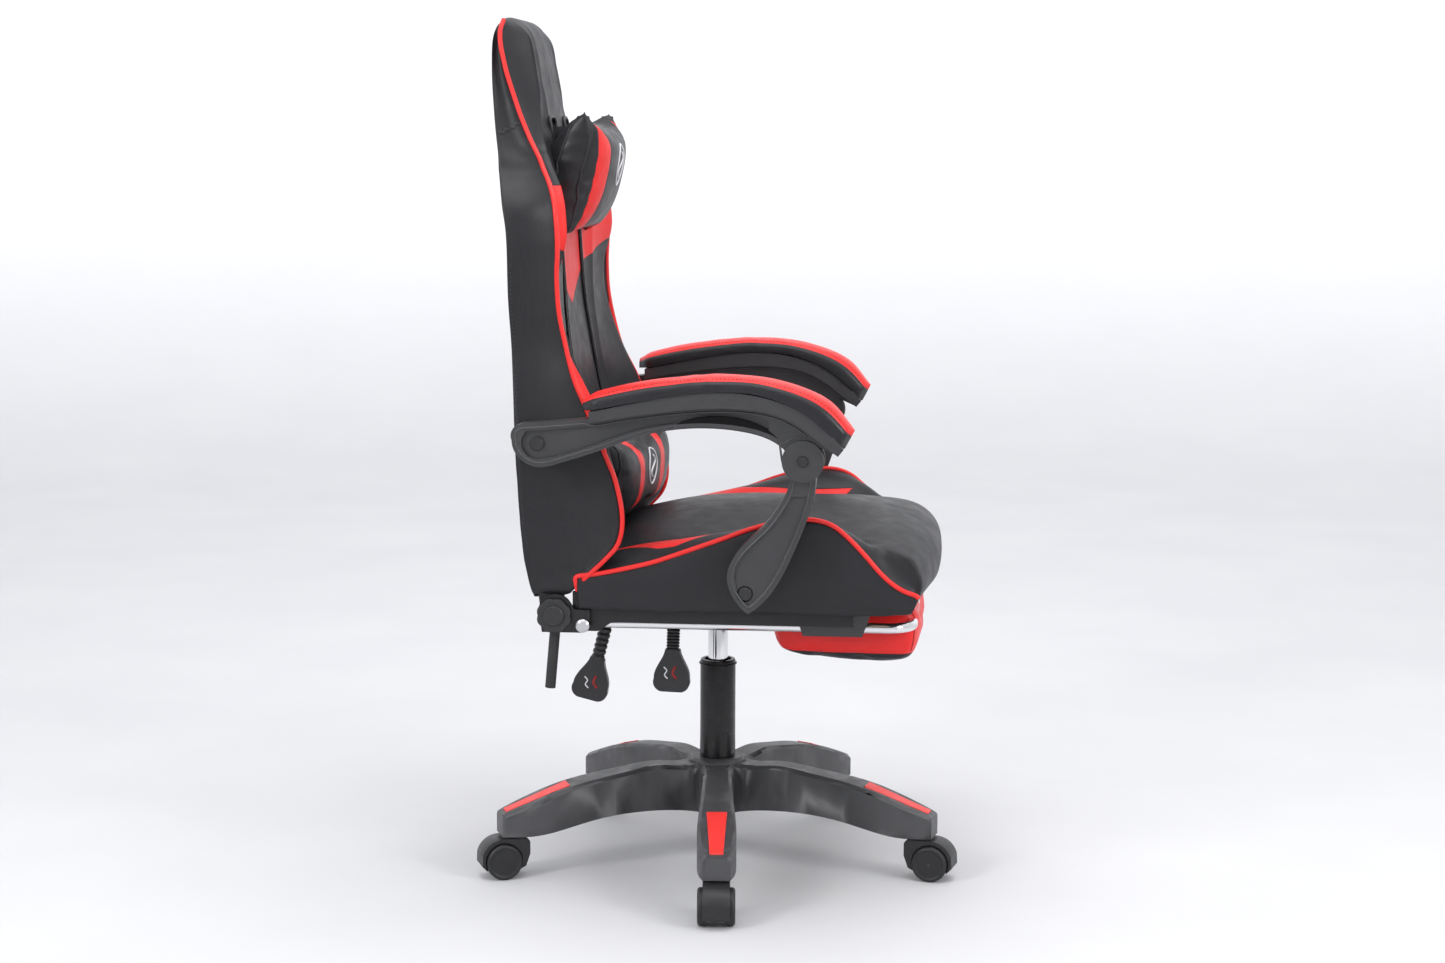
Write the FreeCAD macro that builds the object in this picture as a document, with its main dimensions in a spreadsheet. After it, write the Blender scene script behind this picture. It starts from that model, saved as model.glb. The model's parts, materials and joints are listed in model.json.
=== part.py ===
"""Gaming chair: five-star base on casters, gas lift, bucket seat, reclining back, linked arms, footrest.

Units are millimetres.  +Z is up, the chair faces -Y, the sitter's right side is -X.  The origin is on the
floor, under the column.  Pieces that come in pairs are drawn on the +X side and mirrored.
"""
import FreeCAD, Part
import math
import os

import Sketcher
from FreeCAD import Placement, Rotation, Vector

doc = FreeCAD.newDocument("GamingChair")

# ---------------------------------------------------------------- driving dimensions
SIZES = {
    # base
    "leg_count": 5, "hub_radius": 39, "hub_top": 150, "hub_bottom": 74, "first_leg_angle": 185.06,
    "insert_thickness": 3.4, "caster_circle_radius": 294,
    # casters
    "wheel_radius": 25, "wheel_width": 13, "wheel_inner_face": 12, "wheel_offset": 21,
    "hood_width": 36, "hood_web": 23, "axle_radius": 3, "stem_radius": 5.5, "stem_length": 52,
    "stem_foot": 33, "running_clearance": 0.05,
    # gas lift
    "column_radius": 25, "column_bottom": 75, "column_top": 290, "column_wall": 2.5,
    "cylinder_radius": 14, "cylinder_bottom": 92, "cylinder_top": 380, "rod_radius": 5,
    "button_radius": 4, "button_top": 386,
    # under the seat
    "tray_half_width": 100, "tray_wall": 3, "tray_bottom": 366, "bar_bottom": 398, "bar_thickness": 4,
    "tray_bolt_radius": 4, "rail_inner_face": 232, "rail_thickness": 4, "board_thickness": 12,
    "footrest_rail_x": 185, "footrest_tube_radius": 7, "footrest_tube_height": 374,
    "footrest_bend_radius": 36, "footrest_cross_y": -276, "footrest_pad_width": 294,
    "guide_width": 26, "screw_radius": 3,
    # seat and back upholstery
    "seat_centre_width": 389, "seat_wing_inner_face": 195, "seat_wing_outer_face": 257,
    "back_centre_width": 388, "back_wing_inner_face": 196, "back_wing_outer_face": 258,
    "back_cover_width": 468, "head_pillow_width": 260, "lumbar_pillow_width": 310,
    # recliner
    "hinge_height": 394, "hinge_y": 195, "seat_bracket_inner_face": 240, "back_bracket_inner_face": 235,
    "bracket_thickness": 4.6, "back_tube_radius": 9, "back_tilt": 4.15,
    # arms
    "arm_inner_face": 280, "arm_outer_face": 312, "arm_flange_inner_face": 265, "arm_flange_width": 62,
    "arm_pad_inner_face": 262, "arm_pad_width": 68, "tongue_inner_face": 287, "tongue_outer_face": 305,
    "link_inner_face": 266, "arm_bolt_radius": 5, "hub_disc_radius": 27,
}
dims = doc.addObject("Spreadsheet::Sheet", "Dims")
for row, (alias, value) in enumerate(SIZES.items(), start=1):
    dims.set(f"A{row}", alias)
    dims.set(f"B{row}", str(value))
    dims.setAlias(f"B{row}", alias)
doc.recompute()

HINGE = (SIZES["hinge_y"], SIZES["hinge_height"])      # (y, z) of the recliner pivot
ARM_HUB = (-136, 612.7)                                # (y, z) where upper and lower arm meet
ARM_FOOT = (-62, 437.8)                                # (y, z) where the lower arm meets the seat
ARM_REAR = (206.5, 629.6)                              # (y, z) where the upper arm meets the back

BACK_BOLTS = [(206.5, 448), (209, 474)]                # (y, z) of the bolts in each back bracket

nodes = {}


# ---------------------------------------------------------------- drawing helpers
class Piece:
    """A PartDesign body with its sketches and features."""

    def __init__(self, label, keep=True):
        self.body = doc.addObject("PartDesign::Body", label)
        self.body.Label = label
        self.body.AllowCompound = True
        self.count = 0
        if keep:
            nodes[label] = self.body

    def add(self, kind, name):
        self.count += 1
        return self.body.newObject(kind, f"{self.body.Name}_{name}{self.count}")

    def sketch(self, plane, offset="0"):
        """Empty sketch on an origin plane, moved along its normal by an expression."""
        sketch = self.add("Sketcher::SketchObject", "Sketch")
        origin_plane = next(f for f in self.body.Origin.OriginFeatures if f.Role == plane)
        sketch.AttachmentSupport = [(origin_plane, "")]
        sketch.MapMode = "FlatFace"
        sketch.setExpression("AttachmentOffset.Base.z", offset)
        return sketch

    def outline(self, plane, runs, offset="0"):
        """Closed outline: each run of 2 points is a line, of 3 an arc, of more a smooth curve."""
        sketch = self.sketch(plane, offset)
        for run in runs:
            points = [Vector(u, v, 0) for u, v in run]
            if len(points) == 2:
                sketch.addGeometry(Part.LineSegment(*points))
            elif len(points) == 3:
                sketch.addGeometry(Part.Arc(*points))
            else:
                curve = Part.BSplineCurve()
                curve.interpolate(points)
                sketch.addGeometry(curve)
        return sketch

    def polygon(self, plane, corners, offset="0"):
        closed = list(corners) + [corners[0]]
        return self.outline(plane, [closed[i:i + 2] for i in range(len(corners))], offset)

    def circles(self, plane, centres, radius, offset="0"):
        """Equal circles whose radius is an expression of the sheet."""
        sketch = self.sketch(plane, offset)
        for centre in centres:
            index = sketch.addGeometry(Part.Circle(Vector(*centre, 0), Vector(0, 0, 1), 5))
            sketch.addConstraint(Sketcher.Constraint("Radius", index, 5))
        for index in range(len(centres)):
            sketch.setExpression(f"Constraints[{index}]", radius)
        return sketch

    def pad(self, sketch, length, midplane=False):
        pad = self.add("PartDesign::Pad", "Pad")
        pad.Profile = sketch
        pad.Midplane = midplane
        pad.setExpression("Length", length)
        return pad

    def pocket(self, sketch, length=None, both_ways=False, reverse=False):
        """Cut a sketch through everything, or by a length along its normal when reverse is set."""
        pocket = self.add("PartDesign::Pocket", "Pocket")
        pocket.Profile = sketch
        if length is None:
            pocket.Type = "ThroughAll"
            pocket.Midplane = True
        else:
            pocket.setExpression("Length", length)
            pocket.Midplane = both_ways
            pocket.Reversed = reverse
        return pocket

    def revolve(self, sketch, axis="V_Axis"):
        turned = self.add("PartDesign::Revolution", "Turned")
        turned.Profile = sketch
        turned.ReferenceAxis = (sketch, [axis])
        return turned

    def around(self, features):
        """Repeat features for every leg of the base."""
        pattern = self.add("PartDesign::PolarPattern", "Legs")
        pattern.Originals = features
        z_axis = next(f for f in self.body.Origin.OriginFeatures if f.Role == "Z_Axis")
        pattern.Axis = (z_axis, [""])
        pattern.Angle = 360
        pattern.setExpression("Occurrences", "Dims.leg_count")
        self.body.Tip = pattern
        return pattern

    def loft(self, sections, subtract=False):
        kind = "PartDesign::SubtractiveLoft" if subtract else "PartDesign::AdditiveLoft"
        loft = self.add(kind, "Loft")
        loft.Profile = sections[0]
        loft.Sections = sections[1:]
        return loft


def rod(name, radius, length, start, direction):
    """Round bar from a start point along a direction; radius and length are expressions."""
    cylinder = doc.addObject("Part::Cylinder", name)
    cylinder.setExpression("Radius", radius)
    cylinder.setExpression("Height", length)
    cylinder.Placement = Placement(Vector(*start), Rotation(Vector(0, 0, 1), Vector(*direction)))
    return cylinder


def mirrored(source, label=None):
    twin = doc.addObject("Part::Mirroring", f"{source.Name}_mirrored")
    twin.Source = source
    twin.Normal = Vector(1, 0, 0)
    if label:
        twin.Label = label
        nodes[label] = twin
    return twin


def group(label, members):
    """One node made of several separate solids."""
    compound = doc.addObject("Part::Compound", label)
    compound.Label = label
    compound.Links = members
    nodes[label] = compound
    return compound


def pair(label, source):
    """One node made of a left solid and its mirrored twin."""
    return group(label, [source, mirrored(source)])


def fused(name, members):
    """Weld solids into one, a member at a time."""
    whole = members[0]
    for index, member in enumerate(members[1:], start=2):
        step = doc.addObject("Part::Fuse", name if index == len(members) else f"{name}_step{index}")
        step.Base = whole
        step.Tool = member
        whole = step
    return whole


def cut(name, base, tool):
    result = doc.addObject("Part::Cut", name)
    result.Base = base
    result.Tool = tool
    return result


# ---------------------------------------------------------------- base
# Leg stations: distance from the axis, top height, underside height, width.
LEG_STATIONS = [(30, 147, 74, 46), (87, 145, 81, 40), (136, 140, 81, 42), (184, 132.5, 76, 46),
                (232, 121.5, 66, 51), (270, 108, 60, 52), (300, 97, 59.8, 45), (317, 90, 60, 37)]
LEG_SHOULDER = 5
LEG_WALL = 4
SOCKET_MOUTH = 60
HUB_BEVEL = 4


def leg_section(piece, distance, top, bottom, width, shoulder):
    half = width / 2
    corners = [(-half, bottom), (-half, top - shoulder), (-half + shoulder, top),
               (half - shoulder, top), (half, top - shoulder), (half, bottom)]
    return piece.polygon("YZ_Plane", corners, str(distance))


def insert_section(piece, distance, top, width, thickness):
    half = width / 2
    corners = [(-half, top - thickness), (-half, top), (half, top), (half, top - thickness)]
    return piece.polygon("YZ_Plane", corners, str(distance))


def make_base():
    star = Piece("base_star")
    legs = star.loft([leg_section(star, *station, LEG_SHOULDER) for station in LEG_STATIONS])
    channel = [(distance, top - LEG_WALL - 1, bottom - 2, width - 2 * LEG_WALL)
               for distance, top, bottom, width in LEG_STATIONS[1:5]]
    hollow = star.loft([leg_section(star, *station, LEG_SHOULDER - 2) for station in channel], subtract=True)
    recess = star.loft([insert_section(star, 219.7, 128, 28.4, 5.4),
                        insert_section(star, 310.3, 95.3, 18.4, 5.0)], subtract=True)
    star.around([legs, hollow, recess])
    radius, low, high = (SIZES[name] for name in ("hub_radius", "hub_bottom", "hub_top"))
    star.revolve(star.polygon("XZ_Plane", [(15, low), (radius, low), (radius, high - HUB_BEVEL),
                                           (radius - HUB_BEVEL, high), (15, high)]))
    star.pocket(star.circles("XY_Plane", [(0, 0)], "Dims.column_radius"))
    sockets = star.circles("XY_Plane", caster_centres(), "Dims.stem_radius + Dims.running_clearance",
                           str(SOCKET_MOUTH - 5))
    star.pocket(sockets, f"6 + Dims.stem_length - ({SOCKET_MOUTH} - Dims.stem_foot)", reverse=True)
    inserts = Piece("base_inserts")
    thickness = SIZES["insert_thickness"]
    plate = inserts.loft([insert_section(inserts, 220, 126.4, 28, thickness),
                          insert_section(inserts, 310, 94.6, 18, thickness)])
    inserts.around([plate])
    for piece in (star, inserts):
        piece.body.Placement = Placement(Vector(), Rotation(Vector(0, 0, 1), SIZES["first_leg_angle"]))


def caster_centres():
    """Caster stem positions in the base's own frame."""
    step = 2 * math.pi / SIZES["leg_count"]
    reach = SIZES["caster_circle_radius"]
    return [(reach * math.cos(k * step), reach * math.sin(k * step)) for k in range(SIZES["leg_count"])]


# ---------------------------------------------------------------- casters
HOOD_OUTLINE = [[(-10, 17), (-16, 34)], [(-16, 34), (-16, 49)], [(-16, 49), (-14, 54), (-9, 56)],
                [(-9, 56), (22, 56.5)], [(22, 56.5), (41, 50), (51.5, 34)], [(51.5, 34), (52, 20)],
                [(52, 20), (44, 12)], [(44, 12), (0, 12)], [(0, 12), (-10, 17)]]
WHEEL_CLEARANCE = 1.3


def make_caster(index):
    """Twin-wheel caster in its own frame: stem on the Z axis, wheels trailing along +X."""
    name = f"caster_{index}"
    centre = (SIZES["wheel_offset"], SIZES["wheel_radius"])
    hood = Piece(f"{name}_hood")
    hood.pad(hood.outline("XZ_Plane", HOOD_OUTLINE), "Dims.hood_width", midplane=True)
    for side in (1, -1):
        ring = hood.circles("XZ_Plane", [centre], f"Dims.wheel_radius + {WHEEL_CLEARANCE}",
                            f"{side} * (Dims.hood_web / 2 + 10)")
        hood.pocket(ring, "20", both_ways=True)
    hood.pocket(hood.circles("XZ_Plane", [centre], "Dims.axle_radius"))
    hood.pocket(hood.circles("XY_Plane", [(0, 0)], "Dims.stem_radius", "Dims.stem_foot"), "40", reverse=True)

    stem = rod(f"{name}_stem", "Dims.stem_radius", "Dims.stem_length", (0, 0, SIZES["stem_foot"]), (0, 0, 1))
    axle_half = SIZES["wheel_inner_face"] + SIZES["wheel_width"] - 3
    axle = rod(f"{name}_axle", "Dims.axle_radius", "2 * (Dims.wheel_inner_face + Dims.wheel_width - 3)",
               (centre[0], -axle_half, centre[1]), (0, 1, 0))
    pins = group(f"{name}_pins", [stem, axle])

    wheels = []
    for letter, side in (("a", 1), ("b", -1)):
        wheel = Piece(f"{name}_wheel_{letter}")
        inner = SIZES["wheel_inner_face"]
        outer = inner + SIZES["wheel_width"]
        rim = SIZES["wheel_radius"]
        bore = SIZES["axle_radius"] + SIZES["running_clearance"]
        runs = [[(bore, inner), (rim - 1, inner)], [(rim - 1, inner), (rim, inner + 1)],
                [(rim, inner + 1), (rim, outer - 4)],
                [(rim, outer - 4), (rim - 1.2, outer - 1.2), (rim - 4, outer)],
                [(rim - 4, outer), (rim - 6, outer - 1)], [(rim - 6, outer - 1), (0, outer - 0.4)],
                [(0, outer - 0.4), (0, outer - 2.6)], [(0, outer - 2.6), (bore, outer - 2.6)],
                [(bore, outer - 2.6), (bore, inner)]]
        runs = [[(u, side * v) for u, v in run] for run in runs]
        wheel.revolve(wheel.outline("XY_Plane", runs))
        wheel.body.Placement = Placement(Vector(centre[0], 0, centre[1]), Rotation())
        wheels.append(wheel.body)

    turn = math.radians(SIZES["first_leg_angle"]) + index * 2 * math.pi / SIZES["leg_count"]
    reach = SIZES["caster_circle_radius"]
    place = Placement(Vector(reach * math.cos(turn), reach * math.sin(turn), 0),
                      Rotation(Vector(0, 0, 1), math.degrees(turn)))
    for item in [hood.body, pins] + wheels:
        item.Placement = place.multiply(item.Placement)


# ---------------------------------------------------------------- gas lift
SLIDE_GAP = 0.06                              # radial clearance of the sliding pieces


def turned_about_column(label, profile):
    """Round piece on the column's axis; the profile is (radius, height)."""
    piece = Piece(label)
    piece.revolve(piece.polygon("XZ_Plane", profile))


def make_gas_lift():
    """The cylinder slides in the outer tube's sleeve, on a piston rod that stands on the tube's floor."""
    foot, top, outer = (SIZES[name] for name in ("column_bottom", "column_top", "column_radius"))
    bore = outer - SIZES["column_wall"]
    floor = foot + 4
    lip = top - 4
    rod_radius = SIZES["rod_radius"]
    turned_about_column("gas_outer_tube", [
        (rod_radius + 0.2, foot), (outer, foot), (outer, lip), (outer - 1, top), (19, top), (19, lip),
        (bore, lip), (bore, floor), (rod_radius + 0.2, floor)])

    slide = SIZES["cylinder_radius"]
    turned_about_column("guide_sleeve", [(slide + SLIDE_GAP, lip - 90), (bore, lip - 90),
                                         (bore, lip - 0.2), (slide + SLIDE_GAP, lip - 0.2)])
    turned_about_column("thrust_bearing", [(rod_radius, floor + 0.3), (slide, floor + 0.3),
                                           (slide, floor + 8), (rod_radius, floor + 8)])

    cylinder_bore = slide - 2
    piston = cylinder_bore - SLIDE_GAP
    turned_about_column("piston_rod", [(0, foot + 1), (rod_radius, foot + 1), (rod_radius, 250),
                                       (piston, 250), (piston, 262), (0, 262)])

    low, high = SIZES["cylinder_bottom"], SIZES["cylinder_top"]
    button = SIZES["button_radius"]
    turned_about_column("gas_cylinder", [
        (rod_radius + SLIDE_GAP, low), (slide, low), (slide, high - 4), (slide - 1, high),
        (button + SLIDE_GAP, high), (button + SLIDE_GAP, high - 14), (cylinder_bore, high - 14),
        (cylinder_bore, low + 6), (rod_radius + SLIDE_GAP, low + 6)])
    crown = SIZES["button_top"]
    turned_about_column("release_button", [(0, crown - 15.5), (button, crown - 15.5), (button, crown - 1),
                                           (button - 1, crown), (0, crown)])


# ---------------------------------------------------------------- mechanism and levers
LIFT_LEVER_PLAN = (-148, 47)                  # (x, y) of the lift paddle
RECLINE_LEVER_PLAN = (-148, 152)              # (x, y) of the recline paddle
LEVER_ROD_HEIGHT = 391.9
LEVER_ROD_RADIUS = 5
SLEEVE_RADIUS = 9


def make_mechanism():
    """Pressed tray with side walls, four ears and a boss for the gas cylinder."""
    tray = Piece("mechanism_plate")
    half = SIZES["tray_half_width"]
    front, rear = -34, 178
    tray.pad(tray.polygon("XY_Plane", [(-half, front), (half, front), (half, rear), (-half, rear)],
                          "Dims.tray_bottom"), "Dims.bar_bottom - Dims.tray_bottom")
    inner = half - 4
    tray.pocket(tray.polygon("XY_Plane", [(-inner, front + 4), (inner, front + 4),
                                          (inner, rear - 4), (-inner, rear - 4)],
                             "Dims.tray_bottom + Dims.tray_wall"), "50", reverse=True)
    tray.pad(tray.circles("XY_Plane", [(0, 0)], "22", "Dims.tray_bottom"), "14")
    for x, y in TRAY_BOLTS:
        for side in (1, -1):
            near, far = side * (half - 1), side * (x + 9)
            ear = [(near, y - 9), (far, y - 9), (far, y + 9), (near, y + 9)]
            tray.pad(tray.polygon("XY_Plane", ear, "Dims.bar_bottom - 5"), "5")
    both = TRAY_BOLTS + [(-x, y) for x, y in TRAY_BOLTS]
    tray.pocket(tray.circles("XY_Plane", both, "Dims.tray_bolt_radius"))
    tray.pocket(tray.circles("XY_Plane", [(0, 0)], "Dims.cylinder_radius"))
    # slots in the side wall that let both lever rods out
    for y, length in ((32, 44), (138, 40)):
        tray.pocket(tray.polygon("YZ_Plane", [(y - length / 2, 371), (y + length / 2, 371),
                                              (y + length / 2, 400), (y - length / 2, 400)], f"2 - {half}"),
                    "20", both_ways=True)


def bent_rod(name, radius, points, bend):
    """Round rod along straight runs joined by tangent arcs."""
    path = [Vector(*p) for p in points]
    edges = []
    last = path[0]
    for before, corner, after in zip(path, path[1:], path[2:]):
        first = (before - corner).normalize()
        second = (after - corner).normalize()
        half_angle = first.getAngle(second) / 2
        setback = bend / math.tan(half_angle)
        start = corner + first * setback
        end = corner + second * setback
        middle_direction = (first + second).normalize()
        middle = corner + middle_direction * (bend / math.sin(half_angle) - bend)
        edges.append(Part.LineSegment(last, start).toShape())
        edges.append(Part.Arc(start, middle, end).toShape())
        last = end
    edges.append(Part.LineSegment(last, path[-1]).toShape())
    wire = Part.Wire(edges)
    profile = Part.Wire(Part.Circle(path[0], path[1] - path[0], radius).toShape())
    feature = doc.addObject("Part::Feature", name)
    feature.Shape = wire.makePipeShell([profile], True, False)
    return feature


PADDLE_OUTLINE = [[(-10, 0), (10, 0)], [(10, 0), (15, -14), (22, -28), (24, -40)],
                  [(24, -40), (22, -53), (13, -58)], [(13, -58), (-13, -58)],
                  [(-13, -58), (-22, -53), (-24, -40)], [(-24, -40), (-22, -28), (-15, -14), (-10, 0)]]


def make_handle(label, top, tilt, sleeve_length):
    """Ribbed sleeve and flat paddle, moulded in one; top is where the sleeve starts."""
    handle = Piece(label)
    ribs = 7
    pitch = sleeve_length / ribs
    profile = [(LEVER_ROD_RADIUS, 0)]
    for index in range(ribs):
        start = -index * pitch
        profile += [(SLEEVE_RADIUS - 1.5, start), (SLEEVE_RADIUS, start - pitch * 0.3),
                    (SLEEVE_RADIUS, start - pitch * 0.7)]
    profile += [(SLEEVE_RADIUS, -sleeve_length), (LEVER_ROD_RADIUS, -sleeve_length)]
    handle.revolve(handle.polygon("XZ_Plane", profile))
    lowered = [[(u, v - sleeve_length + 2) for u, v in run] for run in PADDLE_OUTLINE]
    paddle = handle.outline("YZ_Plane", lowered)
    handle.pad(paddle, "14", midplane=True)
    handle.pocket(handle.circles("XY_Plane", [(0, 0)], str(LEVER_ROD_RADIUS), str(-sleeve_length - 12)),
                  "60", reverse=True)
    handle.body.Placement = Placement(Vector(*top), Rotation(Vector(1, 0, 0), tilt))
    return handle


def make_levers():
    """Both levers hang from the tray: straight rod outwards, then down into the ribbed sleeve."""
    x, y = LIFT_LEVER_PLAN
    reach = math.hypot(x, y)
    along = (x / reach, y / reach)
    lift_tilt = 2
    lift_top = (x, y, 360)
    drop = (0, math.sin(math.radians(lift_tilt)), -math.cos(math.radians(lift_tilt)))
    lift = [(-6 * along[0], -6 * along[1], LEVER_ROD_HEIGHT),
            (40 * along[0], 40 * along[1], LEVER_ROD_HEIGHT),
            tuple(lift_top[i] - 18 * drop[i] for i in range(3)),
            tuple(lift_top[i] + 42 * drop[i] for i in range(3))]
    nodes["lift_lever_rod"] = bent_rod("lift_lever_rod", LEVER_ROD_RADIUS, lift, 8)
    make_handle("lift_handle", lift_top, lift_tilt, 30)

    x, y = RECLINE_LEVER_PLAN
    recline_tilt = 14
    recline_top = (x, y - 14, 368)
    drop = (0, math.sin(math.radians(recline_tilt)), -math.cos(math.radians(recline_tilt)))
    corner = tuple(recline_top[i] - 12 * drop[i] for i in range(3))
    recline = [(-62, corner[1], corner[2]), corner, tuple(recline_top[i] + 66 * drop[i] for i in range(3))]
    nodes["recline_lever_rod"] = bent_rod("recline_lever_rod", LEVER_ROD_RADIUS, recline, 8)
    make_handle("recline_handle", recline_top, recline_tilt, 54)


# ---------------------------------------------------------------- seat
RAIL_OUTLINE = [(-200, 384), (120, 384), (138, 372), (172, 372), (172, 425), (100, 425),
                (82, 450), (-150, 450), (-200, 420)]
BAR_CENTRES = (-170, -22, 150)
BAR_WIDTH = 30
GUIDE_SCREWS = [(176, -170), (194, -170)]
TRAY_BOLTS = [(110, -22), (110, 150)]
SEAT_REAR = 148
SEAT_TOP = [(-283, 501), (-226, 513), (-156, 519), (-48, 517), (26, 511), (80, 500), (148, 485)]
SEAT_NOSE = [(-270, 414.3), (-286, 408), (-304, 424), (-310, 454), (-303, 480), (-283, 501)]
WING_TOP = [(161, 448), (126, 454), (66, 468), (0, 491), (-51, 510), (-90, 523), (-130, 529), (-149, 529),
            (-169, 524), (-188, 510), (-208, 491), (-234, 461), (-254, 443), (-284, 432)]
FLARE_START = -130
FLARE_END = -262
FLARE_HALF_WIDTH = 240


def make_seat():
    rail = Piece("seat_rail", keep=False)
    rail.pad(rail.polygon("YZ_Plane", RAIL_OUTLINE, "Dims.rail_inner_face"), "Dims.rail_thickness")
    rail.pocket(rail.circles("YZ_Plane", [ARM_FOOT, (157, 381)], "Dims.arm_bolt_radius", "234"), "20",
                both_ways=True)
    bars = []
    for index, centre in enumerate(BAR_CENTRES):
        bar = doc.addObject("Part::Box", f"cross_bar_{index}")
        bar.setExpression("Length", "2 * Dims.rail_inner_face")
        bar.Width = BAR_WIDTH
        bar.setExpression("Height", "Dims.bar_thickness")
        bar.Placement.Base = Vector(-SIZES["rail_inner_face"], centre - BAR_WIDTH / 2, SIZES["bar_bottom"])
        bars.append(bar)
    welded = fused("seat_frame_welded", [rail.body, mirrored(rail.body)] + bars)
    drill = [rod(f"drill_{side}_{index}", radius, "40", (side * x, y, 370), (0, 0, 1))
             for side in (1, -1)
             for index, (x, y, radius) in enumerate(
                 [(*spot, "Dims.tray_bolt_radius") for spot in TRAY_BOLTS]
                 + [(*spot, "Dims.screw_radius") for spot in GUIDE_SCREWS])]
    frame = cut("seat_frame", welded, fused("frame_drills", drill))
    frame.Label = "seat_frame"
    nodes["seat_frame"] = frame

    board = Piece("seat_board")
    corners = [(-225, 148), (225, 148), (225, -190), (215, -262), (-215, -262), (-225, -190)]
    board.pad(board.polygon("XY_Plane", corners, "Dims.bar_bottom + Dims.bar_thickness"),
              "Dims.board_thickness")

    cushion = Piece("seat_cushion")
    side = [[(SEAT_REAR, 414.3), (-270, 414.3)], SEAT_NOSE, SEAT_TOP, [(SEAT_REAR, 485), (SEAT_REAR, 414.3)]]
    cushion.pad(cushion.outline("YZ_Plane", side), "2 * 240", midplane=True)
    inner = SIZES["seat_centre_width"] / 2
    for sign in (1, -1):
        waste = [(sign * inner, 200), (sign * inner, FLARE_START), (sign * FLARE_HALF_WIDTH, FLARE_END),
                 (sign * 238, -292), (sign * 215, -320), (sign * 300, -320), (sign * 300, 200)]
        cushion.pocket(cushion.polygon("XY_Plane", waste))

    wing = Piece("seat_wing", keep=False)
    side = [[(161, 404), (-276, 404)], [(-276, 404), (-284, 432)], WING_TOP[::-1], [(161, 448), (161, 404)]]
    wing.pad(wing.outline("YZ_Plane", side, "Dims.seat_wing_inner_face"),
             "Dims.seat_wing_outer_face - Dims.seat_wing_inner_face")
    # room for the frame rail, the seat board and the cushion's flared front
    wing.pocket(wing.polygon("XZ_Plane", [(190, 400), (236.3, 400), (236.3, 450.3), (231.7, 450.3),
                                          (231.7, 414.3), (190, 414.3)]))
    gap = 0.6
    flare = [(150, FLARE_START - gap), (inner + gap, FLARE_START - gap),
             (FLARE_HALF_WIDTH + gap, FLARE_END - gap), (239, -300), (150, -300)]
    wing.pocket(wing.polygon("XY_Plane", flare))
    wing.pocket(wing.circles("YZ_Plane", [ARM_FOOT], "9.5", "250"), "30", both_ways=True)
    pair("seat_wings", wing.body)


# ---------------------------------------------------------------- footrest
def make_footrest():
    rail_x = SIZES["footrest_rail_x"]
    height = SIZES["footrest_tube_height"]
    cross_y = SIZES["footrest_cross_y"]
    rear_y = 151
    route = [(-rail_x, rear_y, height), (-rail_x, cross_y, height), (rail_x, cross_y, height),
             (rail_x, rear_y, height)]
    nodes["footrest_rails"] = bent_rod("footrest_rails", SIZES["footrest_tube_radius"], route,
                                       SIZES["footrest_bend_radius"])

    guide = Piece("footrest_guide", keep=False)
    outline = [(-120, 397.6), (-222, 397.6), (-210, 364), (-131, 364)]
    guide.pad(guide.polygon("YZ_Plane", outline, "Dims.footrest_rail_x - Dims.guide_width / 2"),
              "Dims.guide_width")
    guide.pocket(guide.circles("XZ_Plane", [(rail_x, height)], "Dims.footrest_tube_radius + 0.08"))
    guide.pocket(guide.circles("XY_Plane", GUIDE_SCREWS, "Dims.screw_radius", "386"), "20", reverse=True)
    pair("footrest_guides", guide.body)

    pad = Piece("footrest_pad")
    side = [[(-84, 395), (-84, 352)], [(-84, 352), (-88, 336), (-104, 328)],
            [(-104, 328), (-160, 322.5), (-215, 319), (-266, 321)], [(-266, 321), (-277, 324), (-282, 334)],
            [(-282, 334), (-288, 380)], [(-288, 380), (-287, 391), (-279, 395)], [(-279, 395), (-84, 395)]]
    pad.pad(pad.outline("YZ_Plane", side), "Dims.footrest_pad_width", midplane=True)
    pad.pocket(pad.circles("YZ_Plane", [(cross_y, height)],
                           "Dims.footrest_tube_radius + Dims.running_clearance"))


# ---------------------------------------------------------------- back
TILT = math.radians(SIZES["back_tilt"])
TUBE_PLANE_FOOT = (205, 430)                  # a point (y, z) of the inclined plane of the back frame
REAR_LINE = [(222, 420), (226, 441), (237, 574), (247, 745), (252, 888), (280, 962), (290, 1040),
             (293, 1100), (292, 1140), (284, 1165), (273, 1179)]
CENTRE_FRONT = [(152, 440), (153, 500), (160, 560), (172, 620), (188, 700), (200, 780), (206, 880),
                (208, 960), (210, 1036), (222, 1097), (234, 1149), (250, 1169), (273, 1179)]
WING_FRONT = [(165, 452), (128, 474), (110, 497), (103, 530), (112, 576), (126, 613), (151, 668),
              (168, 709), (182, 759), (189, 798), (190, 830), (186, 860), (177, 888), (180, 927),
              (189, 946), (206, 985)]
BACK_HALF_OUTLINE = [(250, 425), (258, 480), (258, 560), (256, 620), (244, 700), (236, 760), (240, 850),
                     (241, 890), (232, 935), (196, 972), (158, 1000), (140, 1060), (132, 1120), (118, 1160),
                     (80, 1177), (0, 1180)]
HEAD_START = 985
WAIST_START = 650
LOWER_CHANNEL = 241
WAIST_CHANNEL = 219
HEAD_CHANNEL = 118
CAP_HEIGHT = 1143
HARNESS_HOLE = [(40, 1000), (78, 1000), (78, 1045), (40, 1045)]


def tube_plane_y(z, offset=0):
    """y of the back frame's plane at a height, moved backwards by an offset."""
    return TUBE_PLANE_FOOT[0] + (z - TUBE_PLANE_FOOT[1]) * math.tan(TILT) + offset / math.cos(TILT)


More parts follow.
